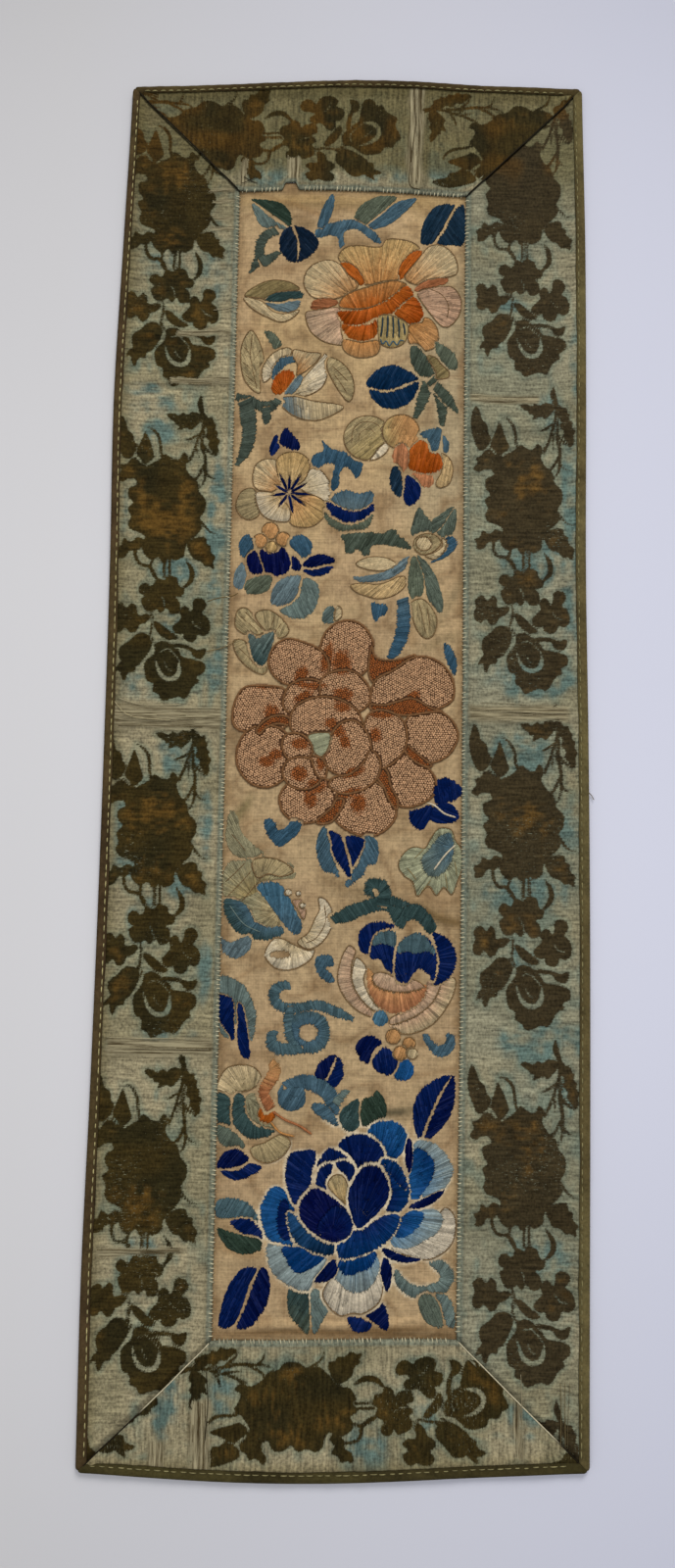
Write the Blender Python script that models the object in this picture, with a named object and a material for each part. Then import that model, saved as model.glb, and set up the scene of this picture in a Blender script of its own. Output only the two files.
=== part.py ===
# Embroidered sleeve band lying flat, face up, its length along Y.
# A silk panel is framed by four woven ribbon strips that lap over its edge and meet in mitres.
# A narrow binding is folded round the outer edge of the ribbons. The underside is the plane Z = 0.
import math

import bmesh
import bpy
import numpy as np

MM = 0.001

# Sizes in millimetres.
HALF_WIDTH = 102.0
HALF_LENGTH = 297.0
CORNER_RADIUS = 3.6
SHEET = 1.0
CLOTH_GAP = 0.3
LAP = 5.0
LAP_TREAD = 6.5
RIBBON_TUCK = 1.4
RIBBON_FALL = 3.8
BINDING_WALL = 1.0
BINDING_BULGE = 0.8
MITRE_HALF_GAP = 0.22
ROW_STEP = 14.0
PANEL_STEP = 5.6
CREASE_EDGE = 9.0

# How far each outer edge bows out from the straight line, in mm, at nine even stations.
# The sides are read from the bottom end to the top end, the ends from left to right.
BOW = {
    "left": (0.6, 1.3, 0.5, 0.1, 0.1, 0.5, 1.5, -0.2, -1.9),
    "right": (0.2, 0.8, 1.5, 1.9, 1.8, 1.2, 1.8, 1.9, 0.9),
    "bottom": (0.0, 1.3, 2.5, 3.0, 2.7, 1.6, 0.1, -1.2, -2.4),
    "top": (-2.3, -1.3, 0.2, 1.8, 3.1, 3.0, 1.8, 1.2, 0.8),
}

# Inner corners of the ribbon frame, in mm.
WINDOW = {
    "top_left": (-50.9, 245.9),
    "top_right": (50.6, 245.3),
    "bottom_left": (-49.7, -246.0),
    "bottom_right": (48.8, -244.3),
}

# Visible width of each binding strip, in mm, at its two ends.
BINDING_WIDTH = {
    "left": (4.6, 3.5),
    "right": (4.7, 4.4),
    "bottom": (4.5, 4.6),
    "top": (3.4, 3.7),
}

# Soft folds across each ribbon: station along the strip, width, height, all in mm.
RIBBON_FOLD = {
    "left": ((179.5, 9.0, 0.5), (157.5, 6.0, 0.4), (8.0, 9.0, 0.6), (-130.0, 9.0, 0.5)),
    "right": ((140.0, 8.0, 0.5), (10.0, 7.0, 0.6), (-4.0, 7.0, 0.5), (-190.0, 11.0, 0.4)),
    "bottom": ((-66.0, 7.0, 0.5), (-52.0, 8.0, 0.5), (20.0, 12.0, 0.3)),
    "top": ((-52.0, 8.0, 0.5), (36.0, 9.0, 0.6), (70.0, 10.0, 0.3)),
}

# Low ridges in the panel: centre x and y, heading in degrees, half length, half width, height.
PANEL_RIDGE = (
    (-5.0, 241.0, 2.0, 48.0, 3.5, 0.9),
    (-28.0, 232.0, -18.0, 20.0, 4.0, 0.4),
    (34.0, 68.0, 38.0, 24.0, 5.0, 0.6),
    (40.0, 46.0, 20.0, 14.0, 4.0, 0.5),
    (-2.0, -237.0, -2.0, 46.0, 4.0, 1.0),
    (-36.0, 118.0, 70.0, 22.0, 4.0, 0.3),
    (-40.0, -120.0, 82.0, 30.0, 4.0, 0.3),
)

# Flower heads whose thick stitching stands up from the silk: centre x and y, half sizes, height.
RAISED_HEAD = (
    (14.0, 198.0, 33.0, 22.0, 0.5),
    (-26.0, 108.0, 16.0, 16.0, 0.4),
    (3.0, 10.0, 47.0, 44.0, 1.0),
    (24.0, -92.0, 24.0, 20.0, 0.6),
    (5.0, -192.0, 42.0, 38.0, 0.7),
)

PANEL_COLOR = (0.44, 0.30, 0.17)
RIBBON_COLOR = (0.20, 0.18, 0.12)
BINDING_COLOR = (0.09, 0.07, 0.035)


def make_material(name, color, roughness):
    mat = bpy.data.materials.new(name)
    mat.use_nodes = True
    shader = mat.node_tree.nodes["Principled BSDF"]
    shader.inputs["Base Color"].default_value = (*color, 1.0)
    shader.inputs["Roughness"].default_value = roughness
    shader.inputs["Metallic"].default_value = 0.0
    return mat


def smooth_read(values, s):
    """Smooth curve through evenly spaced values, with s from 0 to 1."""
    last = len(values) - 1
    place = min(max(s, 0.0), 1.0) * last
    i = min(int(place), last - 1)
    f = place - i
    a = values[max(i - 1, 0)]
    b = values[i]
    c = values[i + 1]
    d = values[min(i + 2, last)]
    return b + 0.5 * f * (c - a + f * (2 * a - 5 * b + 4 * c - d + f * (3 * (b - c) + d - a)))


def edge_at(side, along):
    """Outer edge of one side: the distance from the middle of the band at a place along it."""
    reach = HALF_LENGTH if side in ("left", "right") else HALF_WIDTH
    half = HALF_WIDTH if side in ("left", "right") else HALF_LENGTH
    return half + smooth_read(BOW[side], (along + reach) / (2 * reach))


def corner_of(end, side, inset):
    """Corner point where an end strip and a side strip meet, moved inwards by the inset."""
    sx = -1.0 if side == "left" else 1.0
    sy = -1.0 if end == "bottom" else 1.0
    x = sx * HALF_WIDTH
    y = sy * HALF_LENGTH
    for _ in range(4):
        new_x = sx * (edge_at(side, y) - inset)
        y = sy * (edge_at(end, x) - inset)
        x = new_x
    return x, y


def strip_rows(side):
    """Row list of a strip: ('arc', fraction, which end) at the corners and ('run', fraction)."""
    reach = HALF_LENGTH if side in ("left", "right") else HALF_WIDTH
    count = int(round(2 * reach / ROW_STEP))
    rows = [("arc", 0.0, 0), ("arc", 0.5, 0)]
    rows += [("run", i / count, 0) for i in range(count + 1)]
    rows += [("arc", 0.5, 1), ("arc", 0.0, 1)]
    return rows


def edge_point(side, inset, row):
    """Point on the outer edge curve of a side, moved inwards by the inset."""
    ends = ("bottom", "top") if side in ("left", "right") else ("left", "right")
    upright = side in ("left", "right")
    corners = []
    for end in ends:
        pair = (end, side) if upright else (side, end)
        corners.append(corner_of(pair[0], pair[1], inset))
    axis = 1 if upright else 0
    start = corners[0][axis]
    stop = corners[1][axis]
    radius = max(CORNER_RADIUS - inset, 0.8)
    sign = -1.0 if side in ("left", "bottom") else 1.0
    if row[0] == "run":
        along = start + radius + row[1] * (stop - start - 2 * radius)
        across = sign * (edge_at(side, along) - inset)
    else:
        turn = (1 - row[1]) * math.pi / 4
        back = radius * (1 - math.sin(turn))
        along = start + back if row[2] == 0 else stop - back
        flat = start + radius if row[2] == 0 else stop - radius
        across = sign * (edge_at(side, flat) - inset - radius * (1 - math.cos(turn)))
    return (across, along) if upright else (along, across)


def window_point(side, row):
    """Point on the inner edge of the ribbon frame for the same row."""
    names = {
        "left": ("bottom_left", "top_left"),
        "right": ("bottom_right", "top_right"),
        "bottom": ("bottom_left", "bottom_right"),
        "top": ("top_left", "top_right"),
    }
    a, b = (np.array(WINDOW[n]) for n in names[side])
    length = np.linalg.norm(b - a)
    if row[0] == "run":
        f = (2.0 + row[1] * (length - 4.0)) / length
    else:
        f = row[1] * 2.0 / length
        f = 1 - f if row[2] == 1 else f
    point = a + (b - a) * f
    return float(point[0]), float(point[1])


def mitre_shift(side, row):
    """Small move away from the mitre, so that two strips keep a gap there."""
    if row[0] == "run" or row[1] > 0.25:
        return 0.0, 0.0
    move = MITRE_HALF_GAP if row[2] == 0 else -MITRE_HALF_GAP
    return (0.0, move) if side in ("left", "right") else (move, 0.0)


def ease(x):
    x = min(max(x, 0.0), 1.0)
    return x * x * (3 - 2 * x)


def link(obj, collection, material):
    obj.data.materials.append(material)
    collection.objects.link(obj)
    obj.data.shade_smooth()
    obj.data.set_sharp_from_angle(angle=math.radians(35))


def slab_from_grid(name, columns, rows, place, collection, material):
    """A grid sheet drawn down into a closed slab; place gives x, y, bottom z and top z in mm."""
    bm = bmesh.new()
    bmesh.ops.create_grid(bm, x_segments=columns - 1, y_segments=rows - 1, size=0.5)
    marks = {}
    for v in bm.verts:
        i = int(round((v.co.x + 0.5) * (columns - 1)))
        j = int(round((v.co.y + 0.5) * (rows - 1)))
        marks[(i, j)] = v
    lower = bmesh.ops.extrude_face_region(bm, geom=list(bm.faces))
    under = [g for g in lower["geom"] if isinstance(g, bmesh.types.BMVert)]
    for v in under:
        i = int(round((v.co.x + 0.5) * (columns - 1)))
        j = int(round((v.co.y + 0.5) * (rows - 1)))
        x, y, low, high = place(i, j)
        v.co = (x * MM, y * MM, low * MM)
    for (i, j), v in marks.items():
        x, y, low, high = place(i, j)
        v.co = (x * MM, y * MM, high * MM)
    bmesh.ops.recalc_face_normals(bm, faces=bm.faces)
    flat = [e for e in bm.edges if all(abs(v.co.z) < 1e-7 for v in e.verts)]
    inner = [e for e in flat if all(abs(f.normal.z) > 0.99 for f in e.link_faces)]
    bmesh.ops.dissolve_edges(bm, edges=inner, use_verts=False)
    bmesh.ops.triangulate(bm, faces=[f for f in bm.faces if len(f.verts) > 4])
    mesh = bpy.data.meshes.new(name)
    bm.to_mesh(mesh)
    bm.free()
    obj = bpy.data.objects.new(name, mesh)
    link(obj, collection, material)
    return obj


def ribbon_fold(side, along, share):
    """Height of the soft folds and of the slow sag of a ribbon, kept off its two edges."""
    height = 0.16 * (1 + math.sin(along / 23.0 + 3.0 * share))
    for centre, width, lift in RIBBON_FOLD[side]:
        lean = centre + 3.0 * (share - 0.5)
        height += lift * math.exp(-((along - lean) / width) ** 2)
    return height * ease(share / 0.25) * ease((1 - share) / 0.2)


def build_ribbon(side, collection, material):
    """One woven strip: on the binding's lower lip outside, flat on the ground in the middle,
    and up over the panel's edge inside."""
    rows = strip_rows(side)
    upright = side in ("left", "right")
    stops = (0.0, 0.10, 0.175, 0.30, 0.42, 0.54, 0.66, 0.77, 0.86, 1.0)

    def place(i, j):
        row = rows[j]
        outer = np.array(edge_point(side, RIBBON_TUCK, row))
        inner = np.array(window_point(side, row))
        width = float(np.linalg.norm(inner - outer))
        if i in (1, 2, 7, 8):
            inward = {1: 4.0, 2: 4.0 + RIBBON_FALL, 7: LAP_TREAD + RIBBON_FALL, 8: LAP_TREAD}[i]
            straight = abs(float((inner - outer)[0 if upright else 1]))
            share = inward / straight if i < 3 else 1 - inward / straight
        else:
            share = stops[i]
        x, y = outer + (inner - outer) * share
        dx, dy = mitre_shift(side, row)
        up = SHEET + CLOTH_GAP
        low = up if i < 2 or i > 7 else 0.0
        fold = 0.0 if width == 0 else ribbon_fold(side, y if upright else x, share)
        return x + dx, y + dy, low, low + SHEET + (fold if 2 <= i <= 7 else 0.0)

    return slab_from_grid("ribbon_" + side, len(stops), len(rows), place, collection, material)


def binding_section(width):
    """Folded binding seen from its end: inset from the outer edge and height, as a closed loop."""
    under = SHEET + 2 * CLOTH_GAP + BINDING_WALL
    top = under + BINDING_WALL
    return (
        (width, 0.0),
        (BINDING_BULGE, 0.0),
        (0.0, 0.9),
        (0.0, top - 0.9),
        (BINDING_BULGE, top),
        (width, top - 0.2),
        (width, under),
        (BINDING_WALL + 0.1, under),
        (BINDING_WALL + 0.1, BINDING_WALL),
        (width, BINDING_WALL),
    )


def build_binding(side, collection, material):
    """One binding strip, lofted along the outer edge because its width changes as it goes."""
    rows = strip_rows(side)
    first, last = BINDING_WIDTH[side]
    rings = []
    bm = bmesh.new()
    for j, row in enumerate(rows):
        share = j / (len(rows) - 1)
        wander = 0.18 * math.sin(9.0 * share + len(side))
        section = binding_section(first + (last - first) * share + wander)
        dx, dy = mitre_shift(side, row)
        ring = []
        for inset, height in section:
            x, y = edge_point(side, inset, row)
            ring.append(bm.verts.new(((x + dx) * MM, (y + dy) * MM, height * MM)))
        rings.append(ring)
    for near, far in zip(rings, rings[1:]):
        count = len(near)
        for k in range(count):
            n = (k + 1) % count
            bm.faces.new((near[k], near[n], far[n], far[k]))
    for ring in (rings[0], rings[-1]):
        bm.faces.new(ring)
    bmesh.ops.recalc_face_normals(bm, faces=bm.faces)
    bmesh.ops.triangulate(bm, faces=[f for f in bm.faces if len(f.verts) > 4])
    mesh = bpy.data.meshes.new("binding_" + side)
    bm.to_mesh(mesh)
    bm.free()
    obj = bpy.data.objects.new("binding_" + side, mesh)
    link(obj, collection, material)
    return obj


def panel_relief(x, y):
    """Height of the ridges and raised flower heads at a point of the panel."""
    height = 0.12 * (1 + math.sin(x / 17.0 + y / 41.0))
    for cx, cy, heading, half, wide, lift in PANEL_RIDGE:
        c = math.cos(math.radians(heading))
        s = math.sin(math.radians(heading))
        along = (x - cx) * c + (y - cy) * s
        across = (y - cy) * c - (x - cx) * s
        fade = ease(1.6 - abs(along) / half)
        height += lift * fade * math.exp(-((across / wide) ** 2))
    for cx, cy, rx, ry, lift in RAISED_HEAD:
        out = math.hypot((x - cx) / rx, (y - cy) / ry)
        height += lift * ease((1.15 - out) / 0.3)
    return height


def build_panel(collection, material):
    """The embroidered silk, flat below, its edge running under the ribbons by the lap."""
    tl = np.array(WINDOW["top_left"])
    tr = np.array(WINDOW["top_right"])
    bl = np.array(WINDOW["bottom_left"])
    br = np.array(WINDOW["bottom_right"])
    wide = float(np.linalg.norm(tr - tl))
    tall = float(np.linalg.norm(tl - bl))
    columns = int(round(wide / PANEL_STEP)) + 2
    rows = int(round(tall / PANEL_STEP)) + 2

    def share(i, count, size):
        if i == 0:
            return -LAP / size
        if i == count - 1:
            return 1 + LAP / size
        return (1.2 + (i - 1) / (count - 3) * (size - 2.4)) / size

    def place(i, j):
        u = share(i, columns, wide)
        v = share(j, rows, tall)
        x, y = (bl * (1 - u) + br * u) * (1 - v) + (tl * (1 - u) + tr * u) * v
        rim = min(u * wide, (1 - u) * wide, v * tall, (1 - v) * tall)
        return x, y, 0.0, SHEET + panel_relief(x, y) * ease((rim - 1.0) / CREASE_EDGE)

    return slab_from_grid("embroidered_panel", columns, rows, place, collection, material)


def main():
    for old in list(bpy.data.objects):
        bpy.data.objects.remove(old, do_unlink=True)
    scene = bpy.context.scene
    scene.unit_settings.system = "METRIC"
    band = bpy.data.collections.new("embroidered_sleeve_band")
    scene.collection.children.link(band)
    silk = make_material("panel_silk", PANEL_COLOR, 0.62)
    woven = make_material("ribbon_silk", RIBBON_COLOR, 0.7)
    bound = make_material("binding_silk", BINDING_COLOR, 0.75)
    build_panel(band, silk)
    for side in ("left", "right", "bottom", "top"):
        build_ribbon(side, band, woven)
        build_binding(side, band, bound)


main()
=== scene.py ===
# Embroidered sleeve band: silk panel, woven ribbon frame, folded binding, satin and knot stitching
import math

import bpy
import numpy as np
from mathutils import Matrix


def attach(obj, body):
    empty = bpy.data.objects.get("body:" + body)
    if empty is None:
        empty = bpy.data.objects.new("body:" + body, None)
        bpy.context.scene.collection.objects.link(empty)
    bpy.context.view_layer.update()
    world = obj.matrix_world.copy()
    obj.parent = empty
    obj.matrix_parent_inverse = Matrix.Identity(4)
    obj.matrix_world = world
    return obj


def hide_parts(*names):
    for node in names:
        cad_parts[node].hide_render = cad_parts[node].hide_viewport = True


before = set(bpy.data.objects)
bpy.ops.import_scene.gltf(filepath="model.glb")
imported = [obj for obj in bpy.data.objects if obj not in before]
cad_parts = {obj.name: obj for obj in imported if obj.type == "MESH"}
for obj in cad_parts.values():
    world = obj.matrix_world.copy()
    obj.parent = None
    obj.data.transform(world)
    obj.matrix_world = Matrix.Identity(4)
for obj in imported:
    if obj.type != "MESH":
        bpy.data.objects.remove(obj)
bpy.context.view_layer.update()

mm = 0.001
print("frame loaded:", ", ".join(sorted(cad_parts)))

# everything below is worked out in millimetres and turned to metres when a mesh is made

look = {
    "lightLevel": 0.80,      # how bright a white card lies under the lamps
    "floorSeen": (198, 196, 200),
    "worldSeen": (225, 232, 245),
    "worldStrength": 0.55,
    "keyWatts": 38.0,
    "fillWatts": 3.0,
}

camera = {
    "place": (-0.0051, -0.0738, 0.4960),
    "across": (0.99981, 0.01608, 0.00650),
    "up": (-0.01668, 0.99403, 0.10793),
    "back": (-0.00475, -0.10802, 0.99414),
    "lens": 27.0,            # on a 36 mm film, along the long side
}


def soft01(x):
    x = np.clip(x, 0.0, 1.0)  # x squared times three less two x
    return x * x * (3 - 2 * x)


def bell(x):
    return np.exp(-(x ** 2))  # one at nought, next to nothing past two


def seen(color):
    c = np.asarray(color, float) / 255  # a colour as seen in the photo, to linear light under the lamps
    lin = np.where(c <= 0.04045, c / 12.92, ((c + 0.055) / 1.055) ** 2.4)
    return lin / look["lightLevel"]


def toward(color, rgb, share):
    # a colour mixed by its share with one as seen in the photo
    return color * (1 - share[..., None]) + seen(rgb) * share[..., None]


def tinted(color, *tints):
    for rgb, share in tints:
        color = toward(color, rgb, share)
    return color


def unit(v):
    return v / np.maximum(np.linalg.norm(v, axis=-1, keepdims=True), 1e-9)


def leftOf(v):
    # a flat vector turned a quarter to the left
    return np.stack([-v[..., 1], v[..., 0]], axis=-1)


def turnOf(degrees):
    return math.cos(math.radians(degrees)), math.sin(math.radians(degrees))


def alongLine(x, y, cx, cy, heading):
    # how far along and across a line through a centre each point lies
    c, s = turnOf(heading)
    return (x - cx) * c + (y - cy) * s, (y - cy) * c - (x - cx) * s


def turned(x, y, cx, cy, tilt):
    # a shape drawn about nought, turned and moved to its centre
    c, s = turnOf(tilt)
    return np.stack([cx + x * c - y * s, cy + x * s + y * c], axis=1)


def readNet(net, i, j, nextI, nextJ, f, g):
    # a table read between its four nearest cells
    low = net[i, j] * (1 - f) + net[nextI, j] * f
    high = net[i, nextJ] * (1 - f) + net[nextI, nextJ] * f
    return low * (1 - g) + high * g


def cloud(x, y, size, seed):
    # value noise from -1 to 1: random corners of a square net, eased between
    u, v = np.asarray(x, float) / size + 500.0, np.asarray(y, float) / size + 500.0
    i, j = np.floor(u).astype(int), np.floor(v).astype(int)
    net = np.random.default_rng(seed).random((128, 128))
    return readNet(net, i % 128, j % 128, (i + 1) % 128, (j + 1) % 128, soft01(u - i), soft01(v - j)) * 2 - 1


def smoothStep(a, b, c, d, t):
    # Catmull-Rom curve from b to c, t from 0 to 1
    return b + 0.5 * t * (c - a + t * (2 * a - 5 * b + 4 * c - d + t * (3 * (b - c) + d - a)))


def readSmooth(values, s):
    # a smooth curve through even stations, s from 0 to 1
    v = np.asarray(values, float)
    last = len(v) - 1
    place = np.clip(s, 0, 1) * last
    i = np.minimum(place.astype(int), last - 1)
    return smoothStep(v[np.maximum(i - 1, 0)], v[i], v[i + 1], v[np.minimum(i + 2, last)], place - i)


def pairs(values):
    return np.asarray(values, float).reshape(-1, 2)


def throughPoints(points, step=0.6, closed=False):
    # a smooth path through a few points, then spaced evenly
    p = pairs(points)
    if closed:
        p = np.vstack([p[-1], p, p[0], p[1]])
    else:
        p = np.vstack([2 * p[0] - p[1], p, 2 * p[-1] - p[-2]])
    t = np.linspace(0, 1, 13)[:-1, None]
    out = [smoothStep(*p[k : k + 4], t) for k in range(len(p) - 3)]
    return spacedOut(np.vstack(out if closed else out + [p[-2][None]]), step, closed)


def runAlong(path):
    # distance walked to each point
    return np.concatenate([[0], np.cumsum(np.linalg.norm(np.diff(path, axis=0), axis=1))])


def readAt(at, run, path):
    return np.stack([np.interp(at, run, column) for column in path.T], axis=1)


def spacedOut(path, step, closed=False):
    # the same path with its points about a step apart
    if closed:
        path = np.vstack([path, path[:1]])
    run = runAlong(path)
    at = np.linspace(0, run[-1], max(4, int(math.ceil(run[-1] / step))) + 1)
    return readAt(at[:-1] if closed else at, run, path)


# ---- meshes
def makePiece(name, points, faceSets, material, colors=None, floats=None, uv=None):
    # points in mm; faceSets is a list of whole-number arrays, one row a face
    mesh = bpy.data.meshes.new(name)
    points = np.asarray(points, np.float32) * mm
    mesh.vertices.add(len(points))
    mesh.vertices.foreach_set("co", points.ravel())
    loops = np.concatenate([f.ravel() for f in faceSets]).astype(np.int32)
    sizes = np.concatenate([np.full(len(f), f.shape[1]) for f in faceSets])
    mesh.loops.add(len(loops))
    mesh.loops.foreach_set("vertex_index", loops)
    mesh.polygons.add(len(sizes))
    mesh.polygons.foreach_set("loop_start", np.concatenate([[0], np.cumsum(sizes)[:-1]]).astype(np.int32))
    mesh.update(calc_edges=True)
    if uv is not None:
        mesh.uv_layers.new(name="UVMap").data.foreach_set("uv", np.asarray(uv, np.float32)[loops].ravel())
    for key, value in (colors or {}).items():
        rgba = np.ones((len(points), 4), np.float32)
        rgba[:, :3] = np.clip(value, 0.0, 1.0)
        mesh.attributes.new(key, "FLOAT_COLOR", "POINT").data.foreach_set("color", rgba.ravel())
    for key, value in (floats or {}).items():
        layer = mesh.attributes.new(key, "FLOAT", "POINT")
        layer.data.foreach_set("value", np.asarray(value, np.float32).ravel())
    mesh.polygons.foreach_set("use_smooth", np.ones(len(sizes), bool))
    mesh.materials.append(material)
    mesh.update()
    piece = bpy.data.objects.new(name, mesh)
    bpy.context.scene.collection.objects.link(piece)
    return piece


def gridFaces(rows, columns, offset, reverse):
    # the quads of a grid whose points are numbered row by row
    i, j = np.meshgrid(np.arange(rows - 1), np.arange(columns - 1), indexing="ij")
    a = (i * columns + j).ravel() + offset
    quads = np.stack([a, a + 1, a + columns + 1, a + columns], axis=1)
    return quads[:, ::-1] if reverse else quads


def ringFaces(k):
    # faces between the rings of a tube; k holds the numbers of its points, one row a ring
    a, b = k[:-1], k[1:]
    return np.stack([a, b, np.roll(b, -1, axis=1), np.roll(a, -1, axis=1)], axis=2).reshape(-1, 4)


def turnsIn(points, faces):
    # true where the closed tubes hold a negative volume, so that their faces point inwards
    p = points[faces[:, :3]]
    return np.einsum("ij,ij->i", p[:, 0], np.cross(p[:, 1], p[:, 2])).sum() < 0


def closedSheet(name, top, under, material, colors, floats, uv):
    # top and under are rows by columns by 3; the rim joins them, faces outwards
    rows, columns = top.shape[:2]
    count = rows * columns
    n = np.arange(count).reshape(rows, columns)
    rim = np.concatenate([n[0, :], n[1:, -1], n[-1, ::-1][1:], n[::-1, 0][1:]])
    a, b = rim[:-1], rim[1:]
    side = np.stack([b, a, a + count, b + count], axis=1)
    lean = np.cross(top[0, 1] - top[0, 0], top[1, 0] - top[0, 0])[2] > 0
    faces = [gridFaces(rows, columns, 0, not lean), gridFaces(rows, columns, count, lean)]
    faces.append(side if lean else side[:, ::-1])
    twice = lambda v: np.concatenate([v.reshape(count, -1)] * 2)
    return makePiece(name, np.vstack([top.reshape(-1, 3), under.reshape(-1, 3)]), faces, material,
                     {k: twice(v) for k, v in colors.items()},
                     {k: twice(v) for k, v in floats.items()}, twice(uv))


# ---- materials
class Wire:
    # wraps one socket, so that sums and products of wires write Math nodes
    def __init__(self, tree, socket):
        self.tree, self.socket = tree, socket

    def join(self, kind, a, b):
        return self.tree.node("ShaderNodeMath", {"operation": kind}, {0: a, 1: b})

    def __add__(self, other):
        return self.join("ADD", self, other)

    def __sub__(self, other):
        return self.join("SUBTRACT", self, other)

    def __rsub__(self, other):
        return self.join("SUBTRACT", other, self)

    def __mul__(self, other):
        return self.join("MULTIPLY", self, other)

    __radd__, __rmul__ = __add__, __mul__


class Finish:
    # one material: nodes are added with node(), which takes type, settings and inputs
    def __init__(self, name, **fixed):
        self.material = bpy.data.materials.new(name)
        self.material.use_nodes = True
        self.nodes, self.links = self.material.node_tree.nodes, self.material.node_tree.links
        self.shader = self.nodes["Principled BSDF"]
        for key, value in fixed.items():
            self.shader.inputs[key.replace("_", " ")].default_value = value

    def node(self, kind, settings=None, inputs=None, out=0):
        made = self.nodes.new(kind)
        for key, value in (settings or {}).items():
            setattr(made, key, value)
        for key, value in (inputs or {}).items():
            if isinstance(value, Wire):
                self.links.new(value.socket, made.inputs[key])
            else:
                made.inputs[key].default_value = value
        return Wire(self, made.outputs[out])

    def into(self, key, wire):
        self.links.new(wire.socket, self.shader.inputs[key])

    def place(self):
        return self.node("ShaderNodeTexCoord", out=3)

    def carried(self, name, out=0):
        return self.node("ShaderNodeAttribute", {"attribute_name": name}, out=out)

    def noise(self, where, scale, detail=2.0, rough=0.5):
        return self.node("ShaderNodeTexNoise", {},
                         {"Vector": where, "Scale": scale, "Detail": detail, "Roughness": rough})

    def streaks(self, where, scale, detail=3.0, rough=0.5):
        # noise drawn out: a scale for each way
        stretched = self.node("ShaderNodeMapping", {}, {"Vector": where, "Scale": scale})
        return self.noise(stretched, 1.0, detail, rough)

    def mix(self, share, a, b, blend="MIX"):
        kind = {"data_type": "RGBA", "blend_type": blend}
        return self.node("ShaderNodeMix", kind, {0: share, 6: a, 7: b}, 2)

    def span(self, value, low, high, toLow=0.0, toHigh=1.0):
        ends = {0: value, 1: low, 2: high, 3: toLow, 4: toHigh}
        return self.node("ShaderNodeMapRange", {"clamp": True}, ends)

    def shaded(self, color, shade):
        grey = self.node("ShaderNodeCombineColor", {}, {0: shade, 1: shade, 2: shade})
        return self.mix(1.0, color, grey, "MULTIPLY")

    def bump(self, height, strength, distance):
        sizes = {"Height": height, "Strength": strength, "Distance": distance}
        self.into("Normal", self.node("ShaderNodeBump", {}, sizes))


def threadFinish(name, roughness, sheen):
    # floss colour rides on the stitches; a little fibre noise breaks it up
    f = Finish(name, Roughness=roughness, Specular_IOR_Level=sheen)
    where = f.place()
    fibre, speck = f.noise(where, 1400.0), f.noise(where, 620.0, 2.0, 0.6)
    f.into("Base Color", f.shaded(f.carried("floss"), f.span(fibre * 0.4 + speck * 0.6, 0.3, 0.7, 0.7, 1.3)))
    f.bump(fibre, 0.25, 0.0001)
    return f.material


def silkFinish():
    # plain woven silk: broad tints, with painted shade and highlights, ride on the sheet, fine weft streaks and
    # specks come from noise
    f = Finish("panel silk", Roughness=0.62, Specular_IOR_Level=0.08)
    where = f.place()
    weft, warp = f.streaks(where, (60.0, 1500.0, 1.0)), f.streaks(where, (1500.0, 90.0, 1.0), 2.0)
    grain = weft * 0.3 + warp * 0.2 + f.noise(where, 560.0, 4.0, 0.7) * 0.5
    f.into("Base Color", f.shaded(f.carried("tint"), f.span(grain, 0.38, 0.62, 0.7, 1.29)))
    f.bump(weft * 0.6 + warp * 0.4, 0.35, 0.0002)
    return f.material


def ribbonFinish():
    # the woven pattern is a distance in mm carried by the sheet; the weave makes its edge ragged
    f = Finish("ribbon silk", Roughness=0.75, Specular_IOR_Level=0.03)
    uv = f.node("ShaderNodeUVMap", {"uv_map": "UVMap"})
    ground, figure = f.carried("ground"), f.carried("figure")
    away, worn, frayed = f.carried("away", 2), f.carried("worn", 2), f.carried("frayed", 2)
    ragged = f.streaks(uv, (0.7, 2.4, 1.0), 3.0, 0.7)
    mask = f.span(away + (ragged - 0.5) * 2.2, -0.2, 0.2, 1.0, 0.0)
    rib, fine = f.streaks(uv, (0.12, 0.95, 1.0), 3.0, 0.6), f.streaks(uv, (1.0, 0.7, 1.0), 2.0, 0.6)
    lines = f.span(rib * 0.55 + fine * 0.45, 0.37, 0.63, 0.48, 1.5)
    loose = f.span(f.streaks(uv, (0.035, 0.75, 1.0), 4.0, 0.75), 0.40, 0.58)
    threads = f.mix(loose, (*seen((60, 50, 31)), 1.0), (*seen((140, 130, 102)), 1.0))
    cloth, woven = f.mix(frayed, f.shaded(ground, lines), threads), f.shaded(figure, lines)
    rubbed = f.span(f.streaks(uv, (0.5, 1.8, 1.0), 3.0, 0.7) - worn * 0.2, 0.22, 0.30)
    f.into("Base Color", f.mix(mask * rubbed, cloth, woven))
    f.bump(rib * 0.7 + fine * 0.3 + mask * 0.15 + loose * frayed * 0.5, 0.6, 0.0003)
    return f.material


def bindingFinish():
    # a dull plain weave, speckled with wear
    f = Finish("binding silk", Roughness=0.8, Specular_IOR_Level=0.04)
    where = f.place()
    weave = f.streaks(where, (900.0, 900.0, 900.0), 3.0, 0.6)
    wear = weave * 0.5 + f.noise(where, 180.0, 3.0, 0.6) * 0.5
    f.into("Base Color", f.shaded(f.carried("tint"), f.span(wear, 0.3, 0.7, 0.6, 1.5)))
    f.bump(weave, 0.5, 0.0002)
    return f.material


satinThread = threadFinish("satin floss", 0.5, 0.025)
knotThread = threadFinish("knot floss", 0.6, 0.06)
sewThread = threadFinish("sewing thread", 0.7, 0.06)
panelSilk, ribbonSilk, bindingSilk = silkFinish(), ribbonFinish(), bindingFinish()
print("finishes made")

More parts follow.
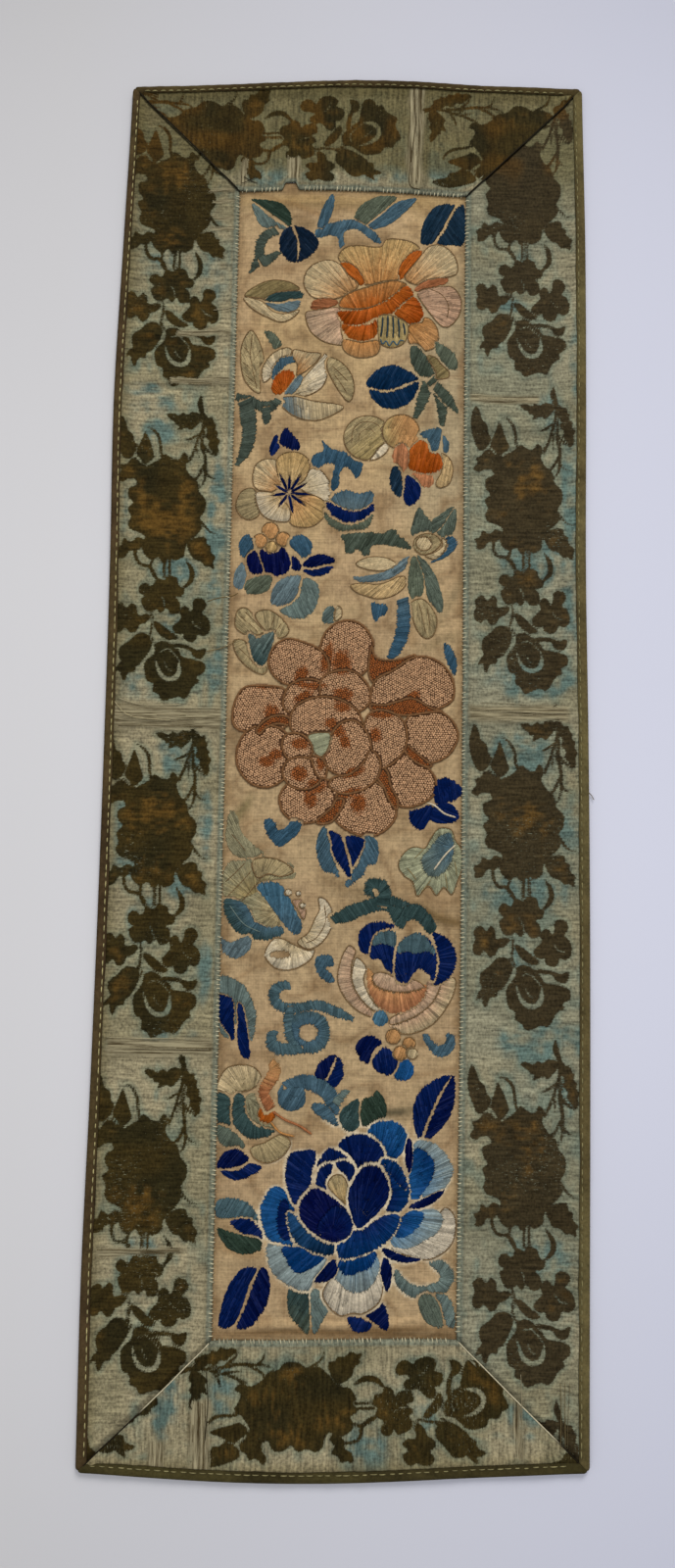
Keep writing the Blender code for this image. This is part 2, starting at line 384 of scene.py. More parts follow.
# ---- outline of the band, as the solids have it
outline = {
    "halfWide": 102.0,
    "halfLong": 297.0,
    "cornerRound": 3.6,
    "bow": {
        "left": (0.6, 1.3, 0.5, 0.1, 0.1, 0.5, 1.5, -0.2, -1.9),
        "right": (0.2, 0.8, 1.5, 1.9, 1.8, 1.2, 1.8, 1.9, 0.9),
        "bottom": (0.0, 1.3, 2.5, 3.0, 2.7, 1.6, 0.1, -1.2, -2.4),
        "top": (-2.3, -1.3, 0.2, 1.8, 3.1, 3.0, 1.8, 1.2, 0.8),
    },
    "window": {"topLeft": (-50.9, 245.9), "topRight": (50.6, 245.3),
               "bottomLeft": (-49.9, -246.0), "bottomRight": (48.8, -244.3)},
    "windowBow": {"left": (0.0, 0.2, 0.4, 0.2, 0.0), "right": (0.0, 0.5, 0.5, 0.2, 0.0),
                  "bottom": (0.0, 0.2, 0.0, -0.2, 0.0), "top": (0.0, 1.6, 1.9, 1.2, 0.0)},
}
sideEnds = {"left": ("bottomLeft", "topLeft"), "right": ("bottomRight", "topRight"),
            "bottom": ("bottomLeft", "bottomRight"), "top": ("topLeft", "topRight")}
sides = ("left", "right", "bottom", "top")


def upright(side):
    return side in ("left", "right")


def outward(side):
    return -1.0 if side in ("left", "bottom") else 1.0


def runOf(side):
    return 2 * outline["halfLong" if upright(side) else "halfWide"]


def windowEnds(side):
    # the window's two corners on a side, and which of x and y runs along it
    return [np.array(outline["window"][n]) for n in sideEnds[side]] + [int(upright(side))]


def outerAt(side, along):
    # distance of the outer edge from the middle of the band
    half, run = outline["halfWide"] if upright(side) else outline["halfLong"], runOf(side)
    return half + readSmooth(outline["bow"][side], (np.asarray(along, float) + run / 2) / run)


def innerAt(side, along):
    # place of the ribbon's inner edge on its own axis, a line between corners with a small bow
    a, b, k = windowEnds(side)
    s = (np.asarray(along, float) - a[k]) / (b[k] - a[k])
    return a[1 - k] + (b[1 - k] - a[1 - k]) * s + outward(side) * readSmooth(outline["windowBow"][side], s)


def outerCorner(sx, sy, inset):
    # where two outer edges moved inwards meet: each is read at the other's place, four times over
    x, y = sx * outline["halfWide"], sy * outline["halfLong"]
    sideX, sideY = ("left" if sx < 0 else "right"), ("bottom" if sy < 0 else "top")
    for _ in range(4):
        x, y = sx * (outerAt(sideX, y) - inset), sy * (outerAt(sideY, x) - inset)
    return x, y


def edgeEnds(side, inset):
    # from where to where a side runs, between its two outer corners moved inwards
    ends = [(outward(side), end) if upright(side) else (end, outward(side)) for end in (-1, 1)]
    return [outerCorner(*end, inset)[int(upright(side))] for end in ends]


def rimGap(x, y):
    # distance to the nearest side of the window
    return np.minimum.reduce([x - innerAt("left", y), innerAt("right", y) - x,
                              y - innerAt("bottom", x), innerAt("top", x) - y])


# ---- heights
panel = {
    "thick": 0.45, "under": 0.08, "lap": 5.0, "step": 1.1, "crease": 0.75,
    "window": (101.5, 491.5),  # its mean width and length
    "gold": (151, 128, 94),
    # low ridges in the silk: centre, heading, half length, half width, height
    "ridges": (
        (-5, 242, 2, 48, 2.2, 1.0), (-28, 236, -16, 20, 2.4, 0.7), (10, 226, 24, 14, 2.2, 0.6),
        (40, 222, -30, 12, 2.4, 0.5), (34, 68, 38, 24, 3.4, 0.8), (40, 46, 20, 14, 2.6, 0.7),
        (-2, -240.2, -1, 48, 2.0, 1.3), (-36, 118, 70, 22, 2.6, 0.5), (-40, -120, 82, 30, 2.6, 0.5),
        (6, 58, 8, 14, 2.4, 0.5), (12, -66, -10, 26, 3.0, 0.8), (-30, 180, 12, 18, 2.6, 0.6),
        (20, -154, 4, 22, 2.6, 0.9), (-38, -214, -6, 12, 2.5, 0.7), (40, -76, -14, 12, 2.6, 1.0),
        (-44, 140, 80, 20, 2.2, 0.5), (-10, 150, 10, 16, 2.4, 0.5), (4, -124, 30, 16, 2.6, 0.5),
        (40, -214, 40, 12, 2.2, 0.4), (-44, -34, 62, 16, 2.4, 0.6), (46, 20, 84, 20, 2.0, 0.5),
        (44, 170, 80, 26, 2.2, 0.6), (-20, -36, 14, 12, 2.2, 0.5), (-12, 176, -24, 14, 2.4, 0.6),
    ),
    # painted shadows along creases and folds, a painted highlight above the bottom crease, and darker stains:
    # centre, heading, half length, half width, strength, colour
    "stainsAndPaintedLight": (
        (32, -243.3, -1.0, 20, 0.9, 0.9, (78, 60, 36)), (-2, -242.2, 2.2, 50, 1.9, 0.85, (92, 68, 38)),
        (0, -238.0, 2, 40, 1.3, 0.35, (180, 150, 108)), (-4, 243, 0.5, 50, 4.6, 0.75, (130, 106, 66)),
        (-24, 239, -20, 18, 1.3, 0.55, (112, 84, 50)), (41, -75.2, -14, 13, 2.2, 0.9, (92, 72, 42)),
        (1, -63, -20, 12, 3.0, 0.75, (112, 92, 64)), (18, -155.5, 4, 12, 2.2, 0.9, (76, 68, 48)),
        (46, 62, 60, 14, 3.0, 0.5, (112, 98, 70)), (40, 42, 20, 10, 2.2, 0.45, (112, 96, 66)),
        (-47, 2, 88, 12, 2.4, 0.55, (98, 78, 52)), (-44, -34, 60, 9, 2.2, 0.9, (108, 94, 62)),
        (47, 190, 88, 26, 2.4, 0.45, (112, 100, 74)), (-12, 176.5, -22, 12, 1.4, 0.45, (118, 94, 60)),
        (-40, -210, 0, 12, 2.0, 0.4, (128, 100, 64)), (-4, 66, 0, 8, 6.0, 0.35, (132, 108, 78)),
    ),
}


def creaseAt(x, y, shift):
    # one on the thin wandering lines where the noise crosses nought, less away from them
    return 1 - np.abs(cloud(x * 0.75 + y * 0.2 + shift, y - x * 0.25 - shift, 11.0, 5))


def silkRise(x, y):
    # ridges are a bell across a line that fades at its ends; two slow clouds add unevenness
    rise = 0.16 * (1 + cloud(x, y, 21.0, 3)) + 0.06 * (1 + cloud(x, y, 6.5, 4))
    rise = rise + panel["crease"] * creaseAt(x, y, 0.0) ** 5 * (0.6 + 0.4 * cloud(x, y, 30.0, 6))
    for cx, cy, heading, half, wide, lift in panel["ridges"]:
        along, across = alongLine(x, y, cx, cy, heading)
        rise = rise + lift * soft01(1.6 - np.abs(along) / half) * bell(across / wide)
    return rise * soft01((rimGap(x, y) - 0.5) / 6.0) * (0.12 + 0.88 * mapRead(bareMap, x, y) ** 1.5)


def silkTop(x, y):
    return panel["under"] + panel["thick"] + silkRise(x, y)


# ---- the map of who covers what on the panel: each shape is laid over those before it
clothMap = {"cell": 0.2, "low": (-52.0, -249.0), "size": (521, 2490), "blur": 8}
covered = np.zeros(clothMap["size"], np.int16)
regions = []


def mapRead(cells, x, y, outside=None):
    # the cell nearest each point; past the map its last cell, or the value given
    i, j = (np.rint((np.asarray(v) - low) / clothMap["cell"]).astype(int)
            for v, low in zip((x, y), clothMap["low"]))
    inI, inJ = np.clip(i, 0, cells.shape[0] - 1), np.clip(j, 0, cells.shape[1] - 1)
    read = cells[inI, inJ]
    return read if outside is None else np.where((i == inI) & (j == inJ), read, outside)


def shapeAt(x, y):
    return mapRead(covered, x, y, -1)


def within(px, py, shape):
    # even-odd rule: count the shape's edges to the right of each point
    inside = np.zeros(px.shape, bool)
    for (a, b), (c, d) in zip(shape, np.roll(shape, -1, axis=0)):
        if b != d:
            inside ^= ((py < b) != (py < d)) & (px < (c - a) * (py - b) / (d - b) + a)
    return inside


def offEdge(px, py, shape):
    # distance to the nearest of the shape's edges
    best = np.full(px.shape, 1e9)
    for p, q in zip(shape, np.roll(shape, -1, axis=0)):
        d = q - p
        t = np.clip(((px - p[0]) * d[0] + (py - p[1]) * d[1]) / max(float(d @ d), 1e-9), 0, 1)
        best = np.minimum(best, np.hypot(px - p[0] - t * d[0], py - p[1] - t * d[1]))
    return best


def layDown(shape, number, void):
    # the cells within the shape take its number, and those nearer than void to its edge are emptied
    cell, low = clothMap["cell"], clothMap["low"]
    first = np.floor((shape.min(axis=0) - void - low) / cell).astype(int)
    last = np.ceil((shape.max(axis=0) + void - low) / cell).astype(int) + 1
    first, last = np.maximum(first, 0), np.minimum(last, covered.shape)
    if (last <= first).any():
        return
    i, j = np.meshgrid(np.arange(first[0], last[0]), np.arange(first[1], last[1]), indexing="ij")
    x, y = i * cell + low[0], j * cell + low[1]
    part = covered[first[0] : last[0], first[1] : last[1]]
    if void > 0:
        part[(offEdge(x, y, shape) < void) & (part > 0)] = 0
    part[within(x, y, shape)] = number


# ---- shapes, all in mm
def oval(cx, cy, rx, ry, tilt=0.0, power=2.0, count=56):
    # superellipse: each radius times the cosine or sine to the power 2 / power
    a = np.linspace(0, 2 * np.pi, count, endpoint=False)
    x, y = (r * np.sign(w) * np.abs(w) ** (2 / power) for r, w in ((rx, np.cos(a)), (ry, np.sin(a))))
    return turned(x, y, cx, cy, tilt)


def leafSide(base, tip, width, bend, full, gap, power, count=26):
    # half a leaf: from the vein out to width * sin(pi t^k)^power, t along the vein
    base, tip = np.array(base, float), np.array(tip, float)
    d = tip - base
    n = leftOf(d) / np.linalg.norm(d)
    t = np.linspace(0, 1, count)[:, None]
    vein = base + d * t + n * bend * 4 * t * (1 - t)
    k = math.log(0.5) / math.log(full)
    reach = width * np.sin(np.pi * t ** k).clip(0, 1) ** power
    keep = np.sign(width) * gap / 2 * np.minimum(1, 3 * (1 - t))
    return np.vstack([vein + n * keep, (vein + n * (keep + reach))[::-1][1:-1]])


def swathe(points, widths, step=0.7):
    # a stem or scroll: a path with its width read along it; returns the two edges
    path = throughPoints(points, step)
    half = readSmooth(widths, np.linspace(0, 1, len(path))) / 2
    out = unit(leftOf(np.gradient(path, axis=0))) * half[:, None]
    return path + out, path - out


def crescent(cx, cy, rx, ry, start, stop, thick):
    # a band along an oval's arc, full in the middle and pointed at its ends
    a = np.radians(np.linspace(start, stop, 30))
    inset = thick * np.sin(np.linspace(0, np.pi, 30)) ** 0.7
    arc = lambda off: np.stack([cx + (rx - off) * np.cos(a), cy + (ry - off) * np.sin(a)], axis=1)
    return np.vstack([arc(0.0), arc(inset)[::-1]])


def blob(*xy):
    return throughPoints(xy, 0.9, True)


# ---- sewing: each call lays one filled shape
satin = {
    "pitch": 0.37, "wide": 0.50, "tall": 0.20, "arch": 0.20, "longest": 7.5, "puff": 0.34, "shortest": 0.7,
    "void": 1.0, "tooth": 0.9, "toneSpread": 0.14, "bunchSpread": 0.12, "seed": 11, "batch": 9000,
}


def sew(shape, tone, grain, void=None, second=None, shade=None, kind="satin"):
    # grain is an angle, ("fan", x, y) or ("ruled", edgeA, edgeB); shade runs from tone to second
    regions.append(dict(shape=shape, tone=tone, grain=grain, second=second, shade=shade, kind=kind,
                        tight=void == 0))
    layDown(shape, len(regions), satin["void"] if void is None else void)


def leaf(base, tip, left, right, toneLeft, toneRight, bend, full=0.45, gap=1.0, power=0.8):
    # a half on each side of the vein, its stitches slanting to it
    heading = math.degrees(math.atan2(tip[1] - base[1], tip[0] - base[0]))
    for width, tone, slant, void in ((left, toneLeft, 38.0, None), (-right, toneRight, -38.0, 0.02)):
        sew(leafSide(base, tip, width, bend, full, gap, power), tone, heading + slant, void)


def stem(points, widths, tone, **more):
    # each stitch runs from one edge to a point a little further along the other
    a, b = swathe(points, widths)
    shift = int(round(0.25 * float(np.max(widths)) / 0.7))
    later = b[np.minimum(np.arange(len(b)) + shift, len(b) - 1)]
    sew(np.vstack([a, b[::-1]]), tone, ("ruled", a, later), **more)


def petal(tone, heart, *xy, **more):
    # stitches spread from the heart; second is the colour nearest the heart
    sew(blob(*xy), tone, ("fan", *heart), **more)


def patch(tone, grain, *xy, **more):
    sew(blob(*xy), tone, grain, **more)


def dots(tone, *places):
    for x, y, r in np.reshape(places, (-1, 3)):
        sew(oval(x, y, r, r, count=24), tone, 70, void=0.4)


def hole(cx, cy, rx, ry):
    layDown(oval(cx, cy, rx, ry), 0, 0)


cords = []


def rim(tone, wide, *xy):
    cords.append((throughPoints(xy, 0.5), tone, wide))


def strokes(tone, wide, *ends):
    for a, b, c, d in np.reshape(ends, (-1, 4)):
        rim(tone, wide, a, b, (a + c) / 2 + 0.2, (b + d) / 2, c, d)


# colours of the floss as seen in the light of the scene, red green blue out of 255
floss = {
    "navy": (2, 22, 66), "marine": (5, 34, 60), "night": (10, 26, 42), "deepNavy": (0, 12, 54),
    "ink": (2, 9, 54), "indigo": (20, 40, 55), "blue": (2, 43, 86), "midBlue": (22, 70, 114),
    "sideBlue": (47, 73, 88), "lightBlue": (84, 112, 130), "paleBlue": (120, 130, 127),
    "discBlue": (58, 90, 106), "slateBlue": (26, 62, 96), "steel": (60, 82, 92), "teal": (64, 84, 88),
    "darkTeal": (44, 62, 60), "stemGreen": (40, 54, 43), "stemTeal": (62, 70, 60), "rose": (152, 102, 68),
    "greyTeal": (86, 98, 92), "leafGrey": (78, 86, 74), "greyGreen": (80, 86, 70), "green": (62, 70, 58),
    "olive": (118, 103, 68), "yellowGreen": (142, 124, 82), "silk": (142, 126, 92), "moss": (118, 112, 86),
    "paleGreen": (128, 128, 102), "greyBlue": (86, 100, 102), "cream": (164, 146, 112),
    "yellowCream": (158, 131, 86), "tan": (164, 139, 98), "white": (176, 163, 138), "bone": (167, 156, 136),
    "peach": (160, 120, 76), "orange": (146, 76, 22), "deepOrange": (134, 60, 8),
    "lightOrange": (154, 108, 60), "pink": (160, 130, 104), "palePink": (162, 138, 111),
    "coral": (134, 84, 52), "brown": (94, 72, 46), "darkBlueGrey": (40, 50, 54),
}

# -- branch across the top, with its leaves
patch("stemGreen", -35, -45.5,242.5, -36,242, -31,240, -28,236.5, -27,232, -28,230, -31,232, -41,239)
patch("greyTeal", -60, -45,240.5, -42,231.5, -38,229, -33,228.5, -29,229, -36,233.5, void=0.8)
stem((-33,228, -38,226.2, -41,221.5, -41.5,214.5, -45.5,207.5), (3.6, 4.6, 4.4, 4.4, 1), "stemTeal", void=0.4)
stem((-41.5,213, -37,214.4, -32.5,218), (4.5, 3.4, 1.2), "stemTeal", void=0)
patch("steel", 75, -15.5,230.5, -14.5,236.5, -11.5,242.5, -9,245.5, -8.5,240, -11.5,231.5, void=0)
leaf((-27, 230.5), (-25, 212.8), 8.6, 8.2, "night", "night", 2.0, 0.5, power=0.6)
patch("greyGreen", 50, 1,232, 1.5,237.5, 6,242.5, 13,245.5, 19.5,244.5, 14,238.5, 6.5,232)
patch("steel", 40, 6.5,230.5, 13,236.5, 20,242.5, 28.5,244.5, 23.5,238, 16,231.5, 10,229.5, void=0.9)
patch("steel", 65, -16.5,229, -13,229.5, -11.5,231.5, -2,234, 2,233.5, 9.5,228.5, 13,223, 9.5,223.5, 2,229,
      -2.5,228.5, -4,226, -3,218.5, -5.5,220, -7,225.5, -11,226, -16,225, void=0.3)
patch("indigo", 62, 31,222.5, 30.5,228, 32,234, 36,240, 40,242, 46,241, 42.5,235, 39.5,229, 36,223.5)
patch("indigo", 122, 37.4,222.8, 41,229.5, 43.9,235.5, 47,241, 50,240.4, 50,224, 44,222.5, void=0.9)

# -- first flower: cream and orange petals with a fan of stamens
petal("yellowCream", (12, 195), -5,213.5, -6,217, -3,220.5, 3,221.5, 9,221, 13,221.5, 15,224.5, 20,225,
      27,223.5, 30.5,219.5, 27,213, 22,206.5, 14,205, 5,203.5, second="lightOrange")
petal("orange", (14, 196), -6,213, -2,213.5, 2,211, 5,206, 5.5,203.5, 3,203, -1,205.5, -5,209.5, void=0.2)
petal("orange", (14, 196), 21,206.5, 21,211, 23.5,215.5, 27,219, 31,220, 30,215, 23.5,207, void=0.2)
petal("cream", (20, 198), 23.5,206.5, 26,211, 30.5,217, 34,221.5, 39,222.5, 44,219.5, 47,214, 46.5,209,
      41,207, 35,205.5, 29,203.5, second="peach", void=0.3)
petal("coral", (20, 196), 27.5,201, 31,204.5, 36,206.5, 42.5,207, 42,204.5, 37,203, 31,200.5, void=0.3)
petal("cream", (4, 194), -21.5,203.5, -20.5,208.5, -17,212.5, -11,214.5, -6,213, -2,208, 3,202.5, -4,197.5,
      -10,196, -16,196.5, -19.5,199, second="peach", void=0.3)
petal("coral", (4, 192), -18,191.5, -17,195.5, -11,196.5, -5.5,195, -9,192.5, -14,191.5, void=0.3)
petal("palePink", (5, 193), -20,190, -14,191, -6.5,192.5, -4.5,190, -4.5,183, -3.5,175.5, -8,175, -13.5,177,
      -18,181, -20,186, second="pink", void=0.3)
petal("pink", (22, 196), 29.5,200, 34,202, 44,203, 48.5,198, 48.5,191.5, 45.5,186, 41.5,184, 37.5,187,
      30.5,196.5, second="pink", void=0.3)
rim("brown", 0.45, 35,201.6, 40,199, 43,194, 42.5,188.5)
petal("lightOrange", (10, 178), -5,192.5, -4,197, 2,200.5, 16,205, 22,205, 24.5,203, 19.5,198.5, 13,194.5,
      5,192, second="orange", void=0.3)
petal("deepOrange", (10, 205), -5.5,190.5, 5,191.5, 13.5,195, 19,199, 24,203, 26.5,201.5, 27.5,197.5,
      23,192.5, 18,190, 12,188.5, 4,184.5, -2,184.5, -5,187, second="orange", void=0.2)
petal("deepOrange", (16, 196), 19,190.5, 23,194.5, 27.5,198, 30.5,195, 32,190.5, 30.5,186.5, 25,185.5, 21,188,
      second="orange", void=0.25)
petal("orange", (8, 192), -4.5,184.5, 2,184, 8,185, 12,187.5, 12.5,183, 10.5,179, 5,177, -1,178.5,
      second="deepOrange", void=0.25)
petal("peach", (6, 190), -3,177.5, -3.5,173, 0,170, 5,169, 11,170.5, 13,174, 11.5,177.5, 5,176.5,
      second="lightOrange", void=0.25)
petal("peach", (20, 190), 26,185, 31,186, 32.5,188.5, 36,187, 38.5,182.5, 38.5,177, 35.5,173.5, 30,173,
      26,176, 25,180.5, second="lightOrange", void=0.3)
patch("yellowGreen", 92, 12,188, 16,189.5, 21,188, 25,185, 25,179.5, 22.5,175.5, 17.5,174, 13,176, 12,181,
      void=0.3)
strokes("darkBlueGrey", 0.85, 14,188.2,13.2,179, 16.2,188.8,15.8,178.5, 18.4,188.4,18.6,178.4,
      20.8,187.4,21.2,178.6, 23,185.4,23.8,180)
rim("steel", 0.6, 13,178, 14,175.6, 15.6,177, 17,174.8, 18.6,177, 20.4,175.2, 21.8,177.4, 23.6,177)

# -- leaf at the left edge below it
patch("olive", 30, -47.5,197, -43,201.5, -36,204.5, -28,204, -23,201, -25,200, -33,199, -38.5,195.5, -40,196)
patch("cream", -38, -48,196.5, -44.5,191.5, -38,187.5, -31,185, -26,187, -23,191, -30,189, -35.5,190.5,
      -39.5,194.5, void=0.3)
patch("darkTeal", 28, -38.5,195, -34,198.5, -28,199.5, -22,199.5, -22,196.5, -27,196, -32,194.5, void=0.3)
patch("greyBlue", -18, -38.5,194, -32,193.5, -27,195, -22.5,195, -23.5,192, -27,190, -33,190.5, void=0.3)

# -- second flower: pale petals round an orange heart
petal("silk", (-38, 152), -44.5,181, -48,175, -48.5,167, -47,159, -43,153.5, -39.5,152, -39.5,158, -38,165,
      -39,172, -41.5,178)
rim("brown", 0.35, -43.6,179, -44,168, -41,154)
strokes("brown", 0.3, -47,173,-44,169, -47.4,166,-43.6,162.5, -46,160,-42.6,157, -39.6,172,-43.6,166,
      -39.2,166,-43,160.5)
patch("greyGreen", 70, -38.5,180.5, -34,180, -31,176, -29,171.5, -30.5,169.5, -33,171.5)
petal("cream", (-30, 158), -38,157, -39,163, -35.5,169.5, -30,173, -26,172.5, -27,169, -31.5,166, -34.5,160,
      second="white")
petal("steel", (-30, 156), -34.5,158.5, -34,164, -30.5,168.5, -25.5,169.5, -24,166.5, -28.5,165, void=0.3)
petal("cream", (-29, 154), -25.5,169.5, -25,172.5, -19,171.5, -13,170.5, -18,164, -23.5,160.5, -23.5,165.5,
      second="lightOrange", void=0.3)
petal("white", (-30, 150), -27.5,150.5, -23,156.5, -13.5,168, -11,171, -9.5,165, -11,157.5, -14.5,153.5,
      -20,151, second="cream", void=0.3)
petal("deepOrange", (-29, 150), -34.5,154, -33.5,159, -30,162.5, -26.5,163, -24.5,160.5, -26.5,156.5,
      -29.5,152.5, -32.5,151.5, second="orange", void=0.3)
petal("greyBlue", (-30, 148), -29.5,151, -26.5,156, -23,160.5, -20.5,160, -22.5,155.5, -26.5,150.5, void=0.3)
petal("silk", (-14, 158), -9.5,169, -4,167, 0.5,161.5, 2,154.5, 0,149, -3.5,151.5, -10,163)
strokes("brown", 0.35, -8,165,-1,158, -7,161,-1.6,153)
patch("cream", 96, -31.5,149, -25,151, -16,149, -7,148, -2.5,146.5, -7,143, -14,140, -21,140.5, -27,143.5,
      second="greyBlue", shade=("line", -28, 143, -16, 146))
stem((-30.5,149.6, -35,146.2, -40,146.6, -45,149, -50,150.5), (3, 5, 4.6, 4.4, 3.5), "stemTeal")
stem((-46,149.5, -44.4,141, -44,133, -45.4,125.5, -49,119), (5.5, 6, 5, 4, 1.2), "stemTeal", void=0)
stem((-36.6,146, -36.4,141, -36,138), (3.6, 3, 1.6), "stemTeal", void=0)

# -- navy leaf and green leaves under the first flower
patch("marine", 62, 7,156.5, 9.5,161.5, 14.5,165.5, 20,166, 26,163.5, 30,160, 24,157.5, 16,154.5)
patch("marine", 118, 8.6,154.6, 10.2,150, 14.5,146.5, 19,146, 25,148, 29.5,154, 29.8,158.8, 24,156.3,
      16.5,153.6, void=0.7)
patch("green", 70, 26.5,174.5, 29.5,175, 33.5,170.5, 36.5,165.5, 37,161, 33.5,160.5, 29.5,162.5, 26.5,168)
patch("olive", 40, 33.5,170.5, 37.5,170, 40.5,166.5, 43.5,163.5, 43,160.5, 38,160, 37.5,163.5, void=0.3)
patch("greyGreen", 65, 37.5,177, 41.5,175.5, 46,172, 47.5,166.5, 45,164, 41.5,167, 38,171.5, void=0.4)
stem((34,160, 32.6,152.5, 28.6,142), (4, 5, 2.4), "green")
stem((35,160.5, 39.6,152, 40.6,144, 40.8,138.6), (4.4, 5, 4.6, 2.4), "green", void=0.5)
stem((37,157.5, 42,152, 47.6,144.5), (4, 5, 1.4), "green", void=0.5)

# -- third flower: five cream petals round dark rays
patch("navy", 70, -34.5,123.5, -34.5,128.5, -32,133.5, -30,129.5, -31.5,125.5)
patch("deepNavy", 80, -30.5,129.5, -29.5,134.5, -27.5,136.5, -25,134, -22,130.5, -22,126.5, -26,127, void=0.6)
petal("silk", (-26, 107), -41,108.5, -46.5,107.5, -49,101.5, -47,96.5, -43,94.5, -39,96.5, -38,101)
petal("cream", (-26, 107), -42,112.5, -41,119, -37,122, -31.5,121.5, -28.5,116, -29.5,110.5, -34.5,107,
      -40,108.5, second="peach")
petal("yellowCream", (-26, 107), -27.5,98.5, -24,92.5, -16,92, -10.5,96.5, -9.5,102.5, -13.5,106, -20.5,105.5,
      -24.5,103, second="peach")
petal("white", (-26, 107), -40,107, -39,99.5, -34.5,95, -26.5,94, -25,98, -27,102.5, -31.5,106.5,
      second="yellowCream", void=0.3)
petal("white", (-26, 107), -21,110.5, -18,117, -13,118, -8.5,113, -6,107, -8.5,103, -13.5,105.5, -19,107.5,
      second="cream", void=0.3)
petal("yellowCream", (-26, 107), -31,115.5, -31.5,122, -27,125.5, -21,125, -17,121, -18.5,114.5, -22,111,
      -28,110.5, second="tan", void=0.3)
for rayTurn, rayFar in ((116, 9.6), (88, 8), (58, 9.6), (30, 8.6), (-3, 10), (-38, 9.4), (-78, 9.2), (-124, 7.6),
                        (190, 7.6), (150, 6.8)):
    rayX, rayY = (part * rayFar / 2 for part in turnOf(rayTurn))
    sew(oval(-26 + rayX, 107 + rayY, rayFar / 2, 0.58, rayTurn, count=18), "deepNavy", rayTurn, void=0.2)
dots("peach", -33.6,90,3.8, -38,85.4,3.2, -28,86.4,3.2)
dots("yellowCream", -33,82.8,2.6)

# -- bird branch, fruit, peach ball and red bud
patch("sideBlue", 70, -12.5,131.5, -9,128.5, -4,126.5, 0,126, 3,123.5, 6,121.5, 5.5,117.5, 3.5,114, 1,117.5,
      -2,119, -4,115.5, -4.5,110, -7.5,109, -7,116, -6,120, -10,120.5, -13.5,118.5, -16.5,121, -15.5,124.5,
      -11,127)
sew(oval(8, 132.6, 10.6, 10.2), "yellowGreen", 40, second="silk", shade=("line", 2, 138, 12, 126))
rim("brown", 0.3, 1,130, 1.6,136, 6,139.6, 12,138.6, 15,134)
rim("brown", 0.3, 4,131, 5,135, 9,136.4, 12,133.6)
sew(crescent(8, 132.2, 10.4, 10, -85, 5, 3.8), "white", ("fan", 8, 132), void=0.3)
sew(oval(22.6, 135.6, 8.2, 8), "peach", 65, second="yellowGreen", shade=("line", 14, 135, 24, 135), void=0.4)
patch("tan", 80, 39.5,126, 43.5,124.5, 45.5,119.5, 44,112.5, 39.5,110.5, 38,113, 40.5,118.5, void=0.3)
patch("rose", 82, 27.5,117, 33,117, 37,115, 36,111, 32,111, 28.5,113.5, void=0.3)
patch("orange", 78, 25.5,120.5, 26.5,127.5, 31,132, 36,129.5, 40,125.5, 40.5,119.5, 36,117, 30,117.5,
      second="deepOrange", shade=("line", 36, 118, 30, 131), void=0.3)
patch("rose", 85, 19,123.5, 20,128.5, 23.5,130.5, 26,127, 25.5,119.5, 22.5,117.5, void=0.3)
patch("steel", 60, 30.5,134.5, 34.5,137, 40,137.5, 40,132, 38.5,127.5, 36,127.5, 34.5,132)
patch("steel", 100, 41,134.5, 43.5,131.5, 43.5,127.5, 41.5,126.5, 41,130.5, void=0.4)
patch("indigo", 65, 18,116.5, 20.5,120.5, 23,116, 23.5,110, 23,106, 19.5,108, 18,112)
patch("navy", 115, 25,116, 28.5,114.5, 31.5,110, 30.5,105, 26,102, 24,106, 24.5,111, void=0.8)
petal("steel", (1, 90), -7.5,104.5, -6,107, -1,109, 5,107.5, 10.5,109, 10.5,104, 7,101, 1,99.5, -4,101.5,
      second="greyBlue")
petal("navy", (2, 112), -9.5,103.5, -4.5,101.5, 1,99.5, 7,100.5, 11,103, 10.5,99, 5,95, -2,94.5, -8,98.5,
      void=0.5)
petal("greyGreen", (1, 104), -10.5,100.5, -9.5,94.5, -4,90.5, 4,90, 9,92.5, 11,98.5, 5,94, -2,93.5, -8.5,97.5,
      void=0.5)

# -- green branch with a spray of leaves at the right
patch("green", 60, -3,88.5, 4,90, 12,90, 16,90, 18,91.5, 21,91.5, 21.5,89.5, 25,87, 27.5,83.5, 26,82.5, 20,84,
      12,84.5, 10,83, 9.5,80, 7.5,79, 4,82.5, 2,80.5, -1,81, -1.5,85)
patch("leafGrey", 75, 27.5,88.5, 27.5,93, 29,98, 31,102, 33.5,98.5, 36.5,95, 37.5,91, 34,90, 30,90)
patch("leafGrey", 30, 36.5,95.5, 40,98.5, 45.5,102, 40,92.5, 37.5,90, void=0)
patch("leafGrey", 80, 38,89.5, 41,93, 46.5,101.5, 47,95.5, 45.5,90, 43,88, void=0.6)
petal("silk", (28, 78), 28.5,83.5, 29.5,88, 34,90, 38.5,89, 40.5,85.5, 36.5,81.5, 32,80.5)
sew(oval(33, 85.4, 3.4, 3.2), "cream", 60, void=0.3)
petal("cream", (30, 78), 33.5,80, 37.5,81.5, 41,84.5, 40.5,88, 43,86.5, 41.5,81.5, 38,78.5, void=0.3)
petal("sideBlue", (26, 74), 35.5,77, 39.5,78, 44,80.5, 47.5,84.5, 46.5,88.5, 42.5,88.5, 43.5,84.5, 40.5,80,
      void=0.4)
petal("cream", (30, 80), 3.5,76, 9,79, 16,79, 20.5,77, 22,74.5, 15,73, 8,73.5)
petal("greyBlue", (32, 82), 28,80, 23.5,78, 20,74.5, 14,72, 7,70.5, 2,70, 5,68, 11,68, 18,69.5, 23,72.5,
      27,76.5, void=0.4)
